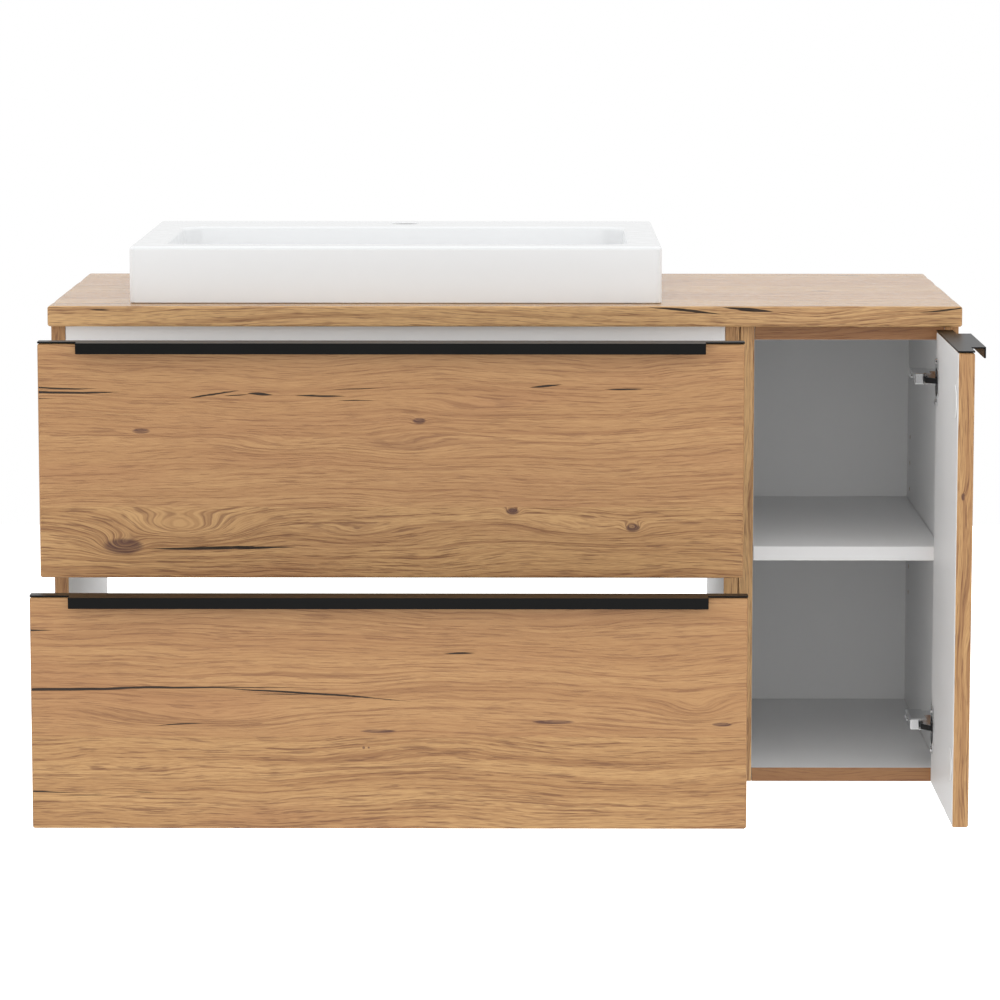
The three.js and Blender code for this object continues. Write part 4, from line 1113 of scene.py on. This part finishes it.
def brackets():
    for node, sign in (("hanging_bracket_left", 1), ("hanging_bracket_right", -1)):
        low, high = corners(node)
        corner, back = (low.x if sign > 0 else high.x), high.y
        leg, steel = high.x - low.x, 3 * MM
        shape = [(corner, back), (corner + sign * leg, back), (corner + sign * leg, back - steel),
                 (corner + sign * steel, back - steel), (corner + sign * steel, low.y), (corner, low.y)]
        plan = filleted(shape, [r * MM for r in (3, 0.5, 0.5, 1.5, 0.5, 0.5)])
        x, z = bracket_screw(node)
        tool = cylinder(bmesh.new(), WALL_SCREW_R, -20 * MM, 20 * MM, facing((0, 1, 0), (x, back, z)), 32)
        bm = carve(prism(bmesh.new(), plan, "z", low.z, high.z), tool)
        piece(node, "angle", bm, "zinc_sheet", bevel=0.5 * MM)
        places = [(corner + sign * 3.1 * MM, low.y + 12 * MM, z + dz * MM) for dz in (-9, 9)]
        screws(node, "screws", places, (sign, 0, 0), 3.8 * MM)


def hinges():
    for name in ("upper", "lower"):
        hinge_cup(f"{name}_hinge_cup")
        hinge_arm(f"{name}_hinge_arm")
        # The links are painted near black, as painted shade of the gap between arm and cup that they sit in.
        link = frame["nodes"][f"{name}_hinge_link"]
        link.data.materials.clear()
        link.data.materials.append(FINISH["link_painted_shade"])
        edge = link.modifiers.new("soft_edges", "BEVEL")
        edge.width, edge.segments, edge.limit_method = 0.3 * MM, 2, "ANGLE"
        bore_cap(f"{name}_bore_cap")


def bore_cap(node):
    """A white disc with a plug behind it, in a bore that has no hinge."""
    low, high = corners(node)
    middle = (low + high) / 2
    head, plug = (high.y - low.y) / 2, 17.2 * MM
    at = facing((1, 0, 0), (high.x - 6 * MM, middle.y, middle.z))
    profile = [(0, 6 * MM), (plug - 1.2 * MM, 6 * MM), (plug, 4.8 * MM), (plug, -0.3 * MM), (head, -0.3 * MM)]
    profile += [(head - 0.9 * MM * (1 - c), -0.55 * MM - 0.95 * MM * s) for s, c in quarter(4)]
    profile += [(head * 0.5, -1.5 * MM), (0, -1.5 * MM)]
    piece(node, "disc", lathe(bmesh.new(), profile, at, 64), "white_plastic")


def eight_sided(middle, half, short):
    """A long plate's outline: half its sizes, and half of its straight sides, in Y and Z."""
    (y, z), (u, w) = half, short
    shape = [(-y, -w), (-u, -z), (u, -z), (y, -w), (y, w), (u, z), (-u, z), (-y, w)]
    return [(middle[0] + dy, middle[1] + dz) for dy, dz in shape]


def hinge_cup(node):
    """A pressed steel cup with its screw-on flange, opening towards -X."""
    low, high = corners(node)
    middle = (low + high) / 2
    radius = (high.y - low.y) / 2
    axis = facing((1, 0, 0), (low.x, middle.y, middle.z))
    depth = high.x - low.x
    wall, plate, r = 1.2 * MM, 1.3 * MM, 2.4 * MM
    bend = [(r * (1 - c), r * (1 - s)) for s, c in quarter(4)]
    outside = [(radius - out, depth - up) for out, up in reversed(bend)]
    inside = [(radius - wall - out, depth - wall - up) for out, up in bend]
    profile = [(0, depth), *outside, (radius, 0.4 * MM), (radius - 0.3 * MM, 0.1 * MM),
               (radius - wall, 0.5 * MM), *inside, (0, depth - wall)]
    bm = lathe(bmesh.new(), profile, axis, 64)
    flat = middle.y + 2.5 * MM
    shape = eight_sided((flat, middle.z), (12.5 * MM, (high.z - low.z) / 2), (6.5 * MM, 13 * MM))
    radii = [r * MM for r in (6, 5.5, 5.5, 6, 6, 5.5, 5.5, 6)]
    wings = prism(bmesh.new(), filleted(shape, radii, 6), "x", low.x, low.x + plate)
    hole = cylinder(bmesh.new(), radius - wall, -0.01, 0.01, axis, 64)
    bm = carve(bm, carve(wings, hole), join=True)
    piece(node, "pot", bm, "nickel", bevel=0.25 * MM)
    places = [(low.x, flat, middle.z + dz * MM) for dz in (-22.5, 22.5)]
    screws(node, "screws", places, (-1, 0, 0), 3.6 * MM)


def hinge_arm(node):
    """The cabinet half of a hinge: a folded arm clipped on its mounting plate."""
    low, high = corners(node)
    middle = (low.z + high.z) / 2
    half, steel = 6.5 * MM, 1.2 * MM
    right = low.x + 19 * MM
    inner = half - steel

    def block(start, end, *rounding):
        return rounded_box(bmesh.new(), start, end, *rounding)

    bm = block((low.x, low.y, middle - half), (right, high.y - 0.5 * MM, middle + half), 1.6 * MM, 4)
    hollow = block((low.x + steel, low.y + steel, middle - inner),
                   (right + 10 * MM, high.y + 5 * MM, middle + inner), 0.8 * MM, 3)
    bm = carve(bm, hollow)
    mouth = block((low.x + 10 * MM, low.y - 5 * MM, middle - inner),
                  (right + 5 * MM, low.y + 5 * MM, middle + inner), 0.3 * MM)
    bm = carve(bm, mouth)
    post = block((low.x + 0.4 * MM, low.y + 27.5 * MM, middle - half + 0.4 * MM),
                 (high.x - 1.5 * MM, low.y + 53.5 * MM, middle + half - 0.4 * MM), 0.6 * MM)
    bm = carve(bm, post, join=True)
    plate_y, thick = low.y + 39.5 * MM, 2.5 * MM
    shape = eight_sided((plate_y, middle), (20 * MM, (high.z - low.z) / 2), (12 * MM, 10 * MM))
    plate = prism(bmesh.new(), filleted(shape, 5 * MM, 6), "x", high.x - thick, high.x)
    bm = carve(bm, plate, join=True)
    pivot = facing((0, 0, 1), (right - 7 * MM, low.y + 2.5 * MM, middle))
    ends, neck = half + 0.3 * MM, half - 0.2 * MM
    pin = [(0, -ends), (1.9 * MM, -ends), (1.9 * MM, -neck), (1.2 * MM, -neck),
           (1.2 * MM, neck), (1.9 * MM, neck), (1.9 * MM, ends), (0, ends)]
    bm = carve(bm, lathe(bmesh.new(), pin, pivot, 24), join=True)
    piece(node, "body", bm, "nickel", bevel=0.15 * MM, steps=1)
    places = [(high.x - thick, plate_y, middle + dz * MM) for dz in (-16, 16)]
    screws(node, "plate_screws", places, (-1, 0, 0), 3.8 * MM)
    places = [(low.x, low.y + dy * MM, middle) for dy in (33, 49)]
    screws(node, "adjusters", places, (-1, 0, 0), 3.2 * MM)


# ---------------------------------------------------------------- the whole scene

make_camera()
make_world(1.1)
make_floor()
area_light("top", (0.1, -0.5, 2.4), (0.1, -0.45, 0), (2.6, 2.0), 4)
area_light("front", (0.5, -5.6, 0.9), (0.1, -0.3, -0.2), (3.0, 2.4), 24)

drawer_fronts()
door()
worktop()
carcass_boards()
drawer_boxes()
for profile_node in ("upper_drawer_handle", "lower_drawer_handle", "door_handle"):
    handle(profile_node)
basin()
waste()
shelf_pins()
runners()
brackets()
hinges()
